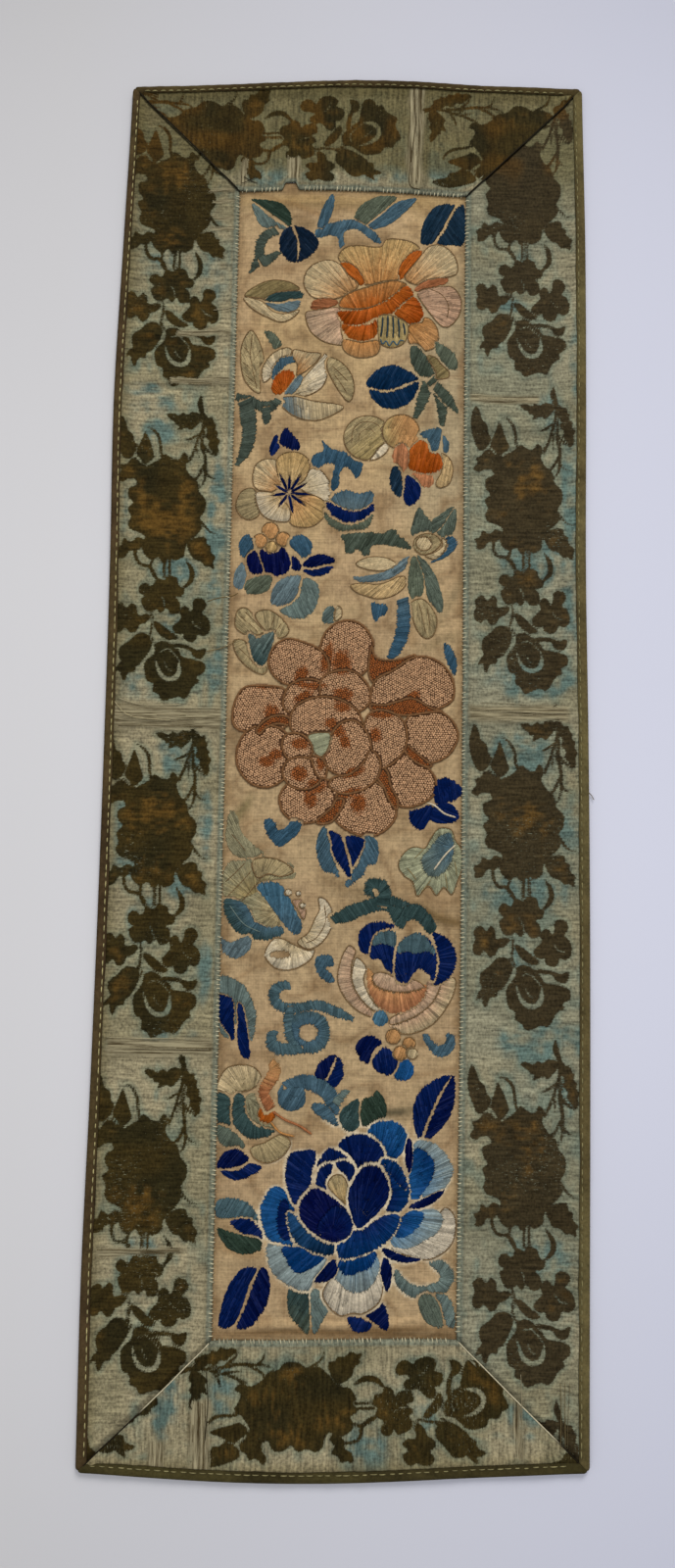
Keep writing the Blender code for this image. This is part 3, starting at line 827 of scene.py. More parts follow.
petal("tan", (32, 80), 1.5,66.5, 7,67.5, 12,67, 17,68, 22,70.5, 25,70.5, 25.5,67, 21,62.5, 14,60.5, 7,62,
      3,64, void=0.4)
petal("greyGreen", (29, 82), 28,79.5, 31.5,77, 33,70, 32.5,62, 29,58.5, 26.5,64, 26.5,72)
petal("leafGrey", (27, 84), 30,80, 34,77.5, 38,71.5, 41,63, 41.5,55.5, 37.5,56.5, 34.5,63, 33,72, void=0.3)
petal("silk", (30, 80), 27.5,58.5, 32,61, 36,58, 39,52, 37.5,45, 33.5,43.5, 29.5,49)
strokes("brown", 0.35, 31,59,34,46, 34.6,57,36,47)

# -- dark flower at the left and the leaves round it
patch("sideBlue", 60, -47,82, -46.5,86, -43.5,88.5, -41.5,86.5, -40.5,81.5, -43,78, -46,78.5)
patch("sideBlue", 115, -25.5,84.5, -23,88, -18.5,88, -15.5,84.5, -16,80, -19,78, -22.5,81)
patch("deepNavy", 35, -19.5,75, -15.5,79, -10.5,80, -5,77, -15,74)
patch("navy", -20, -19.5,73, -15,73, -9,74.5, -6,74.5, -8.5,71.5, -13,70, -17,71)
patch("deepNavy", 95, -24.2,79, -21,77, -19.8,73.6, -22.6,72.2, -24.4,74.6, void=0.6)
patch("ink", 95, -37.5,82, -34.5,80, -31,80.5, -28,83, -25.5,79, -24.5,75, -26.5,71, -31,70, -35.5,72,
      -38.5,77, void=0.6)
patch("ink", 85, -43,79, -40,81, -38,77, -36.5,72, -38.5,70, -42,71.5, -43.5,75.5, void=0.7)
patch("greyGreen", 45, -44,67, -39,69.5, -33,70, -33,65, -37,62, -43,62)
patch("greyBlue", 70, -49,66, -48.5,71.5, -45.5,75.5, -43.5,71, -44.5,66, -46,63.5, void=0.6)
patch("greyBlue", 60, -32.5,57.5, -32,64, -28.5,68.5, -22,70.5, -19.5,69, -20,64, -22.5,59.5, -27,57)
patch("greyTeal", 115, -18.5,69.5, -13,67, -12,62, -13.5,56, -18,51.5, -24,51.5, -29,55, -24,57.5, -20.5,62,
      void=0.9)

# -- blue stem and scraps above the peony
stem((24,61.5, 24.6,53, 23.8,45, 21.4,38.6, 18.6,34.2), (5, 5.6, 5.8, 5.4, 3.4), "sideBlue", second="steel",
      shade=("line", 24, 60, 24, 44))
patch("sideBlue", 80, 10.5,59, 14,58.5, 17.5,57.5, 17,54, 14.5,52.5, 12.5,50.5, 11,53.5)
patch("greyTeal", 45, -10.5,50, -9.5,55.5, -6,57, -5,53, -6,49.5)
patch("cream", 45, -4.6,56.8, -2.4,56.4, -2,52.6, -5,50.6, void=0.4)
patch("sideBlue", 65, 42,41.5, 45,40, 47.5,34.5, 47,27.5, 44.5,30.5, 42.5,35.5)
petal("silk", (-32, 36), -48,48, -47,54.5, -43,55.5, -38.5,50.5, -35,45.5, -40,43.5, -45,44.5)
petal("silk", (-32, 36), -39.5,52.5, -34,55, -28,51.5, -24.5,46, -28,42.5, -34,45)
petal("silk", (-36, 44), -48.5,41, -47,35, -42,29.5, -36,26.5, -33.5,29, -37,33, -41,38, -44,41.5)
strokes("brown", 0.3, -46,52,-38,45, -44,54,-36,46, -31,52,-33,46, -28,49,-31,44.6, -46,38,-38,30)
patch("greyTeal", 60, -42,44.5, -38,42.5, -34.5,44.5, -31,45, -31.5,40, -33.5,33.5, -36,30.5, -39,32, -41,37,
      second="darkTeal", shade=("line", -37, 31, -36, 44))

# -- peony of knot stitches: outer petals first, then the inner ones
knot = {
    "pitch": 1.04, "size": 0.50, "tall": 0.42, "rimGap": 0.85, "cordWide": 1.0,
    "buffTone": (167, 130, 96), "rustTone": (128, 72, 34), "cordTone": (100, 70, 43),
}


def knots(*xy, tone="buff"):
    sew(blob(*xy), tone, 0, void=0, kind="knot")


knots(-9.5,30, -11.5,38, -8.5,46.5, -1,51, 7,49, 12,41, 10.5,31, 4,25, -4,24.5)
knots(-33.5,32, -31.5,38.5, -26,42.5, -19,41.5, -11,38, -7,32, -8.5,25, -16,21.5, -25,22, -31,26)
knots(25,0, 24,-6, 30,-11, 38,-10.5, 45,-6.5, 48.5,1, 46,8, 39,12.5, 30,11.5, 25.5,7.5)
knots(11,40, 13,35, 19,34, 25,35, 30,36.5, 27,31, 19,27, 13.5,23, 10,26, 9.5,33, tone="rusty")
knots(11,21, 13.5,26, 20,29.5, 28,35, 35.5,35.5, 42.5,31.5, 46.5,24, 45.5,16, 36,11.5, 24,9.5, 11.5,12.5)
knots(10.5,14.5, 17,14.5, 22,16, 29,17.5, 38,13, 44.5,12, 36,11, 26,9.5, 18,10.5, 11.5,11.5, tone="rusty")
knots(-46.5,3, -48,12, -44,20.5, -36,22, -26,20.5, -23,12, -25.5,3.5, -34,0.5)
knots(-46,-6, -45,-14.5, -39,-21, -31,-22, -24,-17, -21.5,-8, -25,2, -34,5, -42,2)
knots(-38,2, -35.5,6, -30,9, -24,8.5, -22,4, -28,5, -33,3.5, -36,0.5, tone="rusty")
knots(27,-4, 34,-10.5, 39,-17, 38.5,-24, 32,-28.5, 24.5,-29.5, 17.5,-24, 15.5,-15, 20,-7)
knots(25.5,-1.5, 29,-4.5, 33.5,-8, 37.5,-11.5, 35,-12.5, 29.5,-10, 25.5,-6, tone="rusty")
knots(-27.5,-26, -25.5,-33, -19,-37, -10,-36, -2.5,-30, -1,-24, -7,-18, -17,-17.5, -24,-20)
knots(-4.5,-34, 4,-41, 13,-42, 20.5,-37, 22.5,-30, 17,-21, 8,-17, -2,-22)
knots(14,-11, 18.5,-14, 20,-20, 23,-26, 22.5,-31, 19,-27, 16.5,-21, 13,-16, tone="rusty")
knots(-12,-36.5, -6,-37, -2,-33, 0.5,-27, -3,-26, -5.5,-30, tone="rusty")
knots(8,-11, 7,0, 10,10.5, 18,12, 25.5,7, 26.5,-3, 21,-11, 13,-14)
knots(-26.5,12, -25,21, -18.5,25, -11,24, -7.5,17, -10,9.5, -18,8)
knots(-10.5,16, -10.5,25, -4,29, 4,28.5, 10,22.5, 10.5,15, 5,10.5, -4,11.5)
knots(-23.5,4, -21.5,13, -12,17.5, -2,16.5, 6,11, 8,2, 3,-2.5, -8,-1, -17,-1.5)
knots(-8.5,-12, -7.5,-3, -3,5.5, 4,7.5, 10,2, 11.5,-6, 7.5,-13.5, 0,-17)
patch("paleGreen", 20, -15,1, -9,2, -6,1, -7,-5, -10,-8.5, -13.5,-6, -15.5,-2, void=0.4)
knots(-27,-4, -25,1, -19,1.5, -14.5,-2, -13.5,-7.5, -18,-10.5, -24,-10)
knots(-26.5,-16, -24,-10, -17,-8.5, -11,-12, -9.5,-18.5, -14.5,-22.5, -22,-22)
knots(-14,-8, -9.5,-9, -7,-13, -8,-18, -11.5,-17, -13.5,-12.5)
knots(11,-5, 15.5,-9.5, 14.5,-17, 8.5,-22.5, 0,-24.5, -6.5,-21.5, -4.5,-17, 2,-15.5, 7.5,-11)
# places where the knots turn from buff to rust: centre, reach across and up, heading
rustSpots = ((-2, 32, 4, 5, 0), (-8, 34, 2.4, 6, -10), (-19, 26, 2.6, 4, -20), (-14, 22, 6, 1.4, 0),
             (-31, 9, 3, 4, 10), (-34, 21.6, 5, 1.2, 0), (-29, -8, 3, 2, 20), (-33, -11, 3, 2, 0),
             (24, 14, 7, 2.4, 24), (29, 18, 3, 2, 30), (-1, 18, 4, 3, 0), (-1, 13, 3, 2, 0),
             (13, 1, 2.4, 3, 0), (-3, 3, 3.4, 2.6, -40), (0, -2, 2, 3, 30), (-6, 6, 2.4, 2, 0),
             (6, -28, 3, 4, 0), (2, -24, 5, 1.6, 20), (-12, -22, 5, 2.2, 20), (-14, -27, 2.4, 3, 0),
             (4, -15, 4.6, 1.8, 24), (-19, -3, 3.4, 2.2, 0), (-19, -16, 3, 3, 0), (-12, -20, 3, 1.6, 0),
             (16, 10, 5, 1.4, 0), (-18, 17, 4, 2, 30), (-10, -11, 1.6, 3, 0))

# -- leaves below the peony
patch("navy", 60, 27.5,-31.5, 33,-29.5, 36.5,-28, 38.5,-31, 36,-35.5, 33.5,-39, 29.5,-37.5)
patch("navy", 100, 40,-18, 45,-17.5, 50,-21.5, 48,-25, 40,-27.5, 38,-24, void=0)
patch("navy", -20, 38.5,-29, 44.5,-27.5, 48,-31, 47.5,-34.5, 42,-36, 37,-34.5, void=0)
rim("white", 0.8, 35.4,-27.4, 38.6,-28.6, 42.6,-31.8, 47.4,-33.4)
patch("sideBlue", 45, -33.5,-36, -31,-35, -28.5,-37, -27.5,-40, -24,-38.5, -22,-36, -18,-36.5, -18.5,-40.5,
      -22,-44, -27,-47, -31,-43.5, -33,-40)
patch("steel", 60, -8,-38, -11,-43, -11,-50, -8.5,-56.5, -4,-58, -1,-60, -2.5,-55, -5,-49, -5.5,-42)
patch("steel", 120, 9,-42, 13,-42.5, 15,-46, 14.5,-53, 10.5,-54.5, 8.5,-59, 5,-61.5, 2,-64, 1,-61.5, 4,-57,
      7,-50.5)
patch("navy", 62, -6,-40, -5,-45, -3.5,-51, 3,-60, 2.5,-53, -1,-42, void=0.5)
patch("navy", 118, 1.5,-42, 8,-42.5, 8.5,-46, 4.5,-55, 3,-50, 1.5,-46, void=0.6)
petal("paleGreen", (42, -50), 24,-51, 27.5,-47, 31,-46, 34.5,-46.5, 37,-42, 40.5,-38, 45.5,-38.5, 47.5,-43,
      50,-47, 50.5,-54, 48.5,-60, 46,-66, 42.5,-63, 39.5,-66.5, 36,-62.5, 31.5,-67, 29.5,-61, 26,-58.5,
      23.5,-55)
petal("greyTeal", (46, -46), 33.5,-50.5, 36.5,-47, 40,-42, 45,-40, 46.5,-44.5, 46,-51, 42.5,-56.5, 37.5,-58.5,
      34,-55.5, void=0, second="steel")
rim("white", 0.8, 47.4,-45, 43,-49.4, 38.4,-55.6)
strokes("olive", 0.4, 34,-47,30,-51, 31,-60,27,-55, 37,-60,33,-65, 43,-57,44,-64, 47,-52,48,-58)

# -- butterfly
petal("moss", (-34, -62), -47.5,-31.5, -44.5,-35, -43,-41, -38,-46, -33,-50, -40,-52, -46,-50.5, -49.5,-44,
      -49,-36)
petal("moss", (-36, -70), -33,-50.5, -25,-52, -20,-56, -20.5,-60, -26,-60.5, -31,-61.5, -35,-65, -38,-70,
      -43,-72, -49,-69.5, -50.5,-60, -47.5,-53.5, -40,-52.5, second="yellowGreen", void=0.3)
petal("silk", (-36, -66), -38,-53, -31,-51.5, -24.5,-53.5, -20.5,-57.5, -26,-59.5, -31,-58.5, -36,-60,
      void=0.3)
strokes("brown", 0.35, -49,-62,-41,-54, -48,-68,-38,-57, -42,-70,-34,-60, -47,-42,-41,-49)
petal("darkTeal", (-30, -70), -49.5,-69.5, -43,-70, -39,-73, -36.5,-78, -31,-80.5, -26,-80, -24,-82.5,
      -28,-85.5, -36,-86, -43.5,-83, -48.5,-77, second="steel")
rim("greyTeal", 0.5, -47,-72, -41,-79.4, -34,-82.8)
petal("moss", (-26, -74), -43,-69.5, -38,-67.5, -34.5,-66, -31.5,-70, -27,-76, -25,-79, -30,-80, -35.5,-77.5,
      -38.5,-72.5, void=0, second="silk")
petal("white", (-19, -82), -10,-68, -6.5,-69, -4,-74, -4.5,-81, -8.5,-87, -14,-89.5, -18.5,-86.5, -14,-82.5,
      -11.5,-77, -9.5,-73, second="cream")
rim("brown", 0.35, -7.4,-71, -6.8,-78, -10.4,-84.6, -15,-87)
petal("white", (-20, -84), -32,-92, -28.5,-85.5, -24,-85.5, -20,-87.5, -14,-90, -11,-89.5, -13,-94, -20,-98,
      -27.5,-97.5, second="cream", void=0.3)
hole(-25.4, -91.8, 4.4, 1.5)
petal("discBlue", (-24, -92), -36,-63.5, -30,-61.5, -25,-63.5, -19.5,-73.5, -16.5,-79.5, -18,-83.5,
      -22.5,-81.5, -31.5,-70, second="steel", void=0.4)
patch("pink", 50, -21,-69.5, -17,-69, -15,-73, -16,-77.5, -18.5,-73.5, void=0.3)
dots("white", -22.6,-66,1.5, -18.4,-66.4,1.2, -16.6,-71.4,1.3)

# -- scroll branch and pomegranate
stem((-4.4,-77.6, 2,-75, 10,-71.6, 18,-69.8, 26,-72, 34,-75.6, 38.6,-80.4), (4, 6.4, 6, 6.6, 6.4, 6.2, 4.4),
      "darkTeal")
stem((16.4,-71.6, 18.2,-66, 15.6,-61.8, 11.6,-62, 11,-65.4, 13.6,-66.8), (5, 4.6, 4, 3.6, 3.2, 1.4),
      "darkTeal", void=0)
patch("darkTeal", 60, 19,-70.5, 24,-72, 30,-70.5, 34.5,-72.5, 39.5,-81, 36.5,-82, 33.5,-78, 30,-76, 27.5,-78,
      25.5,-80, 22,-77.5, void=0)
hole(29.4, -79, 3, 2.8)
petal("palePink", (22, -100), 3.5,-87.5, 6,-90, 4.5,-95, 4.5,-101, 7,-107.5, 12,-113, 13.5,-117, 7,-114.5,
      1.5,-109, -1.5,-102, -0.5,-94.5, 1.5,-89.5, second="pink")
petal("white", (22, -100), 6.5,-92.5, 10.5,-96.5, 9.5,-102, 12.5,-109, 16.5,-114, 13,-114, 7.5,-108.5,
      4.5,-102, 5,-96, void=0.3)
petal("cream", (22, -100), 47.5,-100.5, 41.5,-101, 40,-107.5, 34.5,-113.5, 27.5,-117, 20.5,-119.5, 22.5,-123,
      30,-123.5, 38.5,-119.5, 44.5,-112, 47.5,-105.5, second="pink", void=0.4)
petal("palePink", (22, -100), 41.5,-101, 36,-102, 34,-108.5, 28,-113.5, 21,-117, 21,-120, 29,-117.5,
      36.5,-112.5, 40.5,-106.5, second="pink", void=0.15)
petal("rose", (22, -92), 11,-97, 14,-99, 20,-101.5, 28,-102.5, 35.5,-103.5, 34,-109.5, 29,-113.5, 22,-115.5,
      15.5,-112.5, 11.5,-106, second="peach", void=0.3)
petal("pink", (22, -92), 13.5,-99.5, 18,-98.5, 24,-101, 31,-101.5, 34.5,-104.5, 27,-106.5, 19,-106, 14,-103.5,
      second="palePink", void=0.2)
petal("navy", (16, -104), 7,-86.5, 7.5,-81.5, 11,-78.5, 17,-77.5, 22.5,-79.5, 15.5,-82, 12.5,-85, 11.5,-90.5,
      8.5,-90.5)
petal("navy", (30, -94), 38,-82, 43.5,-83.5, 47.5,-88.5, 48,-95, 44.5,-101, 38.5,-103.5, 40.5,-96, 40,-89,
      void=0.4)
petal("navy", (22, -104), 13.5,-84.5, 17.5,-81.5, 22.5,-82, 22,-88, 21.5,-94, 22.5,-99.5, 18.5,-97,
      16.5,-93.5, 12,-92.5, void=0.7)
petal("teal", (22, -104), 13,-87.5, 14,-84, 17.5,-82, 22.5,-82.5, 22,-87.5, 17,-86.5, void=0)
petal("navy", (28, -106), 23,-101.5, 22.5,-94, 24,-86.5, 30,-82, 35.5,-83.5, 39,-88.5, 40,-95, 38.5,-102,
      36,-99, 33,-97, 30.5,-98.5, 27.5,-102.5, void=0.8)
petal("teal", (28, -106), 23.5,-90.5, 24.5,-86.5, 30,-82.5, 35,-84, 38.5,-88.5, 39,-91, 36,-89.5, 31,-90.5,
      27,-89.5, void=0)
dots("discBlue", 16.6,-117.4,3.3)
patch("steel", 60, 34,-124, 36.5,-123.5, 38.5,-126.5, 42,-128, 44,-126, 43.5,-123.5, 46.5,-123, 48,-126.5,
      46,-131, 41.5,-133, 37,-130)
patch("steel", 60, -10.5,-93, -7,-91.5, -4,-92.5, -3,-96, -6.5,-97, -3.5,-99.5, -2.5,-103, -6,-103, -9.5,-100,
      -11,-96.5)
patch("greyBlue", 60, -50,-85, -46.5,-87, -39,-84.5, -37.5,-88, -40,-92, -45,-94, -49.5,-91)

# -- navy leaf at the left edge and scroll vine
petal("greyTeal", (-46, -125), -51,-101.5, -46,-101.5, -41,-104, -37.5,-109, -35,-116, -35.5,-124, -38,-129.5,
      -43,-128, -49.5,-124, -51,-113)
patch("navy", 62, -51,-109, -46.5,-109.5, -44.5,-112, -44,-120, -44,-127.5, -50.5,-118, void=0.4)
patch("navy", 118, -42.5,-112, -40,-115.5, -37.5,-129, -37,-134.5, -40.5,-133.5, -42.5,-127, -42.5,-119,
      void=0.6)
stem((-20.4,-104.8, -25,-104.6, -28,-108.4, -25,-113.2, -18,-113.8, -10,-112.4, -2,-115, 5.4,-118),
      (3.2, 4.6, 4.4, 4.2, 4, 4.4, 4.4, 2), "teal")
sew(oval(-13.4, -123.6, 8.6, 8.2, power=2.3), "teal", ("fan", -13.4, -123.6), void=0, second="steel")
stem((-20.6,-113, -21.4,-119, -20.2,-126, -16,-131), (3, 3.2, 3.4, 3), "teal", void=0)
stem((-15,-130, -22,-130.6, -27,-129.8, -28.6,-126, -26.6,-123), (3, 3.6, 4.2, 3.8, 1.6), "teal", void=0)
hole(-13.2, -123.6, 4.5, 4.2)

# -- small navy leaves, beads and the moth
leaf((-7.2, -146), (-1, -132.6), 5.4, 5.2, "deepNavy", "navy", -0.4, gap=0.9, power=0.55)
dots("midBlue", 26,-138,4.8)
patch("navy", 100, 18.5,-129, 22.5,-131.5, 24,-136, 21.5,-140, 17,-140, 13.5,-136.5, 14.5,-132.5, void=0.7)
patch("deepNavy", 60, 17.5,-127.5, 13.5,-124.5, 9,-125.5, 6.5,-129.5, 8.5,-134.5, 12,-136, 13,-132.5,
      15,-129.5, void=0.8)
dots("peach", 22,-124.8,3.2, 28.6,-127.6,2.8, 25,-131.4,3)
dots("cream", 30,-131.6,2.4)
petal("cream", (-36, -152), -50,-144, -46.5,-138.5, -40,-137, -34.5,-138.5, -32,-143, -36,-147, -42,-148.5,
      -50,-149, second="silk")
petal("darkTeal", (-40, -152), -51,-149.5, -46,-149.5, -43.5,-154, -43.5,-161, -50,-160.5)
petal("darkTeal", (-34, -150), -43,-149.5, -39,-150, -38.5,-156, -34,-161.5, -26,-163, -30,-166.5, -38,-166.5,
      -43.5,-160)
petal("moss", (-38, -150), -38,-150, -33.5,-148.5, -32,-155, -29,-160, -26.5,-162.5, -33,-161, -37.5,-156.5,
      void=0.4)
petal("leafGrey", (-40, -156), -50,-162, -44,-163.5, -38,-169.5, -43,-171, -49,-168.5)
petal("silk", (-36, -160), -36,-170.5, -30,-168, -24,-165, -19.5,-168, -22.5,-173.5, -28.5,-176.5, -34,-175)
dots("orange", -29.6,-157,3.6)
stem((-28.6,-135, -26.6,-140, -31,-147.4, -29.6,-152, -28,-155), (3.4, 5.4, 5.2, 4.6, 4.6), "coral",
      second="peach", shade=("line", -28, -136, -31, -150))
rim("coral", 1.0, -27,-156, -22,-159, -16,-161.4, -11,-164.6)
rim("lightOrange", 0.8, -28,-160, -24,-164, -18,-165.6)

# -- teal disc, leaflets and split leaves above the blue peony
sew(oval(-19.6, -149.6, 6, 6.2), "steel", 60)
stem((-23,-145.6, -16,-143.6, -9,-145, -4,-148.6, -1.4,-157), (2, 4.6, 5.4, 5.2, 3), "steel", void=0)
patch("steel", 30, -11.5,-152.5, -6,-152.5, -2,-156, -0.5,-161.5, -9.5,-156.5, void=0.3)
stem((-2,-152.4, 3.4,-146.6), (3.6, 1.2), "greyTeal", void=0)
patch("darkTeal", 60, 0.5,-156, 3.5,-152.5, 8,-150.5, 8.5,-160.5, 4.5,-163.5, 1,-161, void=0.5)
patch("stemGreen", 120, 9.5,-151, 14,-148.5, 15.5,-146.5, 19,-151, 19.5,-157, 14,-160.5, 9.5,-160.5, void=0.8)
leaf((34, -167.4), (47, -139.4), 8.0, 6.8, "navy", "deepNavy", 1.2, 0.5, gap=1.0)
patch("deepNavy", 50, -49.5,-176.5, -46,-172, -41,-171, -36.5,-175, -41,-178, -48.5,-179)
patch("navy", -30, -48,-180, -41,-179.5, -36,-176.5, -31,-178.5, -36,-182, -42,-183.5, void=0.7)

# -- left leaf group beside the blue peony and the lower corner leaves
patch("teal", 60, -49.5,-198, -49,-191.5, -42,-190.5, -35.5,-193, -31.5,-200, -38,-198, -44,-198.5)
patch("navy", 40, -43.5,-199.5, -37,-198.5, -32.5,-201, -30,-206.5, -36,-205.5, -41.5,-202.5, void=0.6)
patch("stemGreen", -45, -49,-202.5, -41,-204.5, -31,-207, -31.5,-211, -37,-212.5, -44,-210.5, void=0.6)
patch("navy", 62, -47,-241, -46,-232, -43,-224, -38,-218, -32.5,-218, -35,-224, -38,-233.5, -41,-240)
patch("deepNavy", 122, -40,-241, -36.5,-232.5, -33,-222.5, -30,-217, -27,-222, -27.5,-231, -32,-238.5,
      -36.5,-241.5, void=0.9)
patch("darkTeal", 60, -19.5,-226.5, -16,-225.5, -12,-226, -10.5,-233, -11,-243, -15,-240, -19,-235,
      second="green")
patch("greyTeal", 120, -10,-226, -4.5,-228.5, -3,-233, -5.5,-238.5, -9,-243, void=0.6)
patch("navy", 60, 4.5,-237, 9,-236, 14.5,-238.5, 12.5,-242, 7.5,-242)
patch("deepNavy", 45, 11.5,-235.5, 15,-231.5, 19,-230.5, 21.5,-236, 20.5,-241.5, 15.5,-238.5, void=0.7)
stem((34,-213, 40,-214.6, 45,-219, 43.6,-223.6, 38,-226, 31,-226, 26,-222.4, 24,-217.6),
      (1.6, 4, 5.6, 5.6, 5.2, 5, 4.4, 2), "greyTeal")
patch("leafGrey", 115, 33.5,-228.5, 38,-227, 41.5,-231, 43.5,-239, 39,-239.5, 34.5,-235)
patch("greyTeal", 60, 40,-227, 45,-227.5, 48,-233, 48,-240, 44.5,-238.5, 42.5,-231.5, void=0.6)

# -- blue peony: pale outer petals first
petal("paleBlue", (8, -195), -28.5,-209, -22,-208, -12,-211, -4,-213, -8,-221, -12,-226.5, -20.5,-224,
      -26.5,-219)
petal("blue", (8, -195), -22,-209.5, -13,-210, -4.5,-212, -9,-217, -16,-219.5, -20,-215, void=0)
petal("paleBlue", (12, -190), 31,-168, 36,-166.5, 41,-168.5, 47,-176, 46,-182.5, 41,-188.5, 35.5,-191.5,
      33,-180, second="lightBlue")
petal("blue", (10, -190), 31.5,-170, 35,-170.5, 39.5,-175.5, 38.5,-181, 36,-185.5, 31,-190, 29.5,-180, void=0,
      second="midBlue")
petal("bone", (10, -198), 43.5,-193, 47.5,-195.5, 48.5,-201, 46,-208.5, 38,-213.5, 30,-212.5, 21.5,-209.5,
      30,-205.5, 38,-200.5)
petal("paleBlue", (12, -195), 22,-207.5, 28.5,-209.5, 36,-206, 41,-202.5, 43,-197, 38,-193.5, 32,-196.5,
      26,-203, void=0, second="lightBlue")
petal("midBlue", (12, -195), 22.5,-203.5, 26.5,-197.5, 30.5,-194.5, 35.5,-195.5, 34,-200.5, 27.5,-205.5,
      void=0, second="blue")
petal("bone", (8, -200), -5.5,-227, -2.5,-233, 2,-236, 6.5,-235, 11,-235, 17.5,-230.5, 19,-222, 16,-216,
      8,-214, 0,-219)
petal("paleBlue", (8, -200), -0.5,-219, 8,-212.5, 16.5,-213, 16.5,-220.5, 12,-226, 6,-226.5, 1,-223, void=0,
      second="lightBlue")
petal("blue", (8, -200), 1,-215, 8,-211.5, 16,-211, 14.5,-217, 9,-219.5, 3,-220.5, void=0)
patch("deepNavy", 50, -9,-223, -5,-217.5, -1,-214, 0.5,-218.5, -3.5,-222.5, void=0.5)
patch("deepNavy", 20, 18,-208.5, 23,-210.5, 28.5,-212.5, 34.5,-213.5, 27,-215, 20,-212.5, void=0.5)
patch("deepNavy", 75, 19,-213, 22,-215.5, 22.5,-221, 20.5,-226.5, 18,-219.5, void=0.5)
petal("midBlue", (-8, -196), -31.5,-197, -30,-190, -26,-185.5, -21,-188, -17.5,-195, -16.5,-203, -17,-208.5,
      -23,-208, -28.5,-206, second="blue")
petal("navy", (-8, -198), -24.5,-199, -23.5,-192.5, -20.5,-191, -19.5,-199, -19.5,-206.5, -23.5,-205, void=0)
patch("deepNavy", 50, 29,-193, 33,-190.5, 43.5,-186, 40,-190.5, 34,-193.5, void=0.5)
petal("midBlue", (14, -186), 12,-164, 14.5,-160, 19,-158.5, 25,-160, 28.5,-165, 26.5,-171, 21.5,-174.5,
      16,-169, second="blue")
patch("ink", 85, 28,-166.5, 30,-166.5, 30.5,-173, 29.5,-179.5, 27.5,-175, void=0.4)
petal("navy", (0, -190), -21,-185, -21.5,-178, -20,-173, -14.5,-171, -9,-172, -10.5,-179.5, -11.5,-186,
      -17,-193)
petal("navy", (0, -190), -9,-178, -6,-172, -2.5,-170, 5.5,-174.5, -5,-177)
petal("navy", (8, -185), 0,-169, 4,-165, 10,-164, 15,-166.5, 18.5,-170.5, 18.5,-174.5, 14,-177, 9,-178.5,
      5,-173, second="deepNavy")
petal("blue", (8, -190), 17.5,-175, 23.5,-175, 27.5,-180.5, 29.5,-188, 26.5,-194, 20.5,-196.5, 20.5,-186,
      second="navy")
petal("blue", (10, -206), 19,-175.5, 22.5,-175.5, 26.5,-180.5, 28,-186.5, 22.5,-181, void=0, second="navy")
petal("slateBlue", (0, -190), -20.5,-196, -19,-204, -15.5,-208.5, -8,-212, -1,-212, -2,-207.5, -10,-203,
      -16,-197.5, second="marine", shade=("line", -6, -210, -20, -200))
petal("blue", (8, -192), 0,-209, 5.5,-203.5, 19.5,-196.5, 25.5,-197, 23.5,-203.5, 17.5,-209, 10,-212.5,
      2,-214, second="navy")
petal("navy", (2, -195), -8,-179, -5,-176.5, -2,-176.5, -3,-181, -5,-187, -9,-184.5)
petal("navy", (4, -190), -1,-176, 3,-175, 7,-178, 5,-184.5, 1.5,-180)
petal("silk", (4, -198), -4,-185, -2,-181, 2,-181, 4.5,-186, 5,-193, 1,-190.5, second="yellowCream")
petal("ink", (2, -206), -15.5,-192, -12.5,-188, -9.5,-186, -4.5,-188, 4,-195, 6,-201, 3,-206, -3,-207,
      -10,-203.5, -15,-198)
petal("navy", (-2, -204), -8,-202, -4,-195.5, 0,-193, 4,-196, 6,-201, 3,-205.5, -3,-206.5, void=0,
      second="ink")
petal("deepNavy", (8, -202), 5,-194, 4.5,-188, 6.5,-182.5, 11,-177, 16.5,-177, 20.5,-183, 20.5,-190, 15,-197,
      8.5,-201.5, second="navy")
print("shapes laid:", len(regions))


def bareShare():
    # share of bare silk round each cell: the map's empty cells, box blurred both ways
    bare, reach = (covered == 0).astype(float), clothMap["blur"]
    for axis in (0, 1):
        padded = np.pad(bare, [(reach, reach) if k == axis else (0, 0) for k in (0, 1)], mode="edge")
        run = np.cumsum(padded, axis=axis)
        size = run.shape[axis]
        ahead = np.take(run, range(2 * reach, size), axis)
        bare = (ahead - np.take(run, range(size - 2 * reach), axis)) / (2 * reach)
    return bare


bareMap = bareShare()


# ---- stitches: the scan lines of each shape are cut where the cloth map holds another shape
def ruledLines(a, b):
    # from one edge of a stem to the other
    pitch, run = satin["pitch"], runAlong((a + b) / 2)
    at = np.arange(pitch / 2, run[-1], pitch)
    first, last = readAt(at, run, a), readAt(at, run, b)
    size = np.maximum(np.linalg.norm(last - first, axis=1), 1e-6)
    way = (last - first) / size[:, None]
    return first - way * 0.4, way, size + 0.8


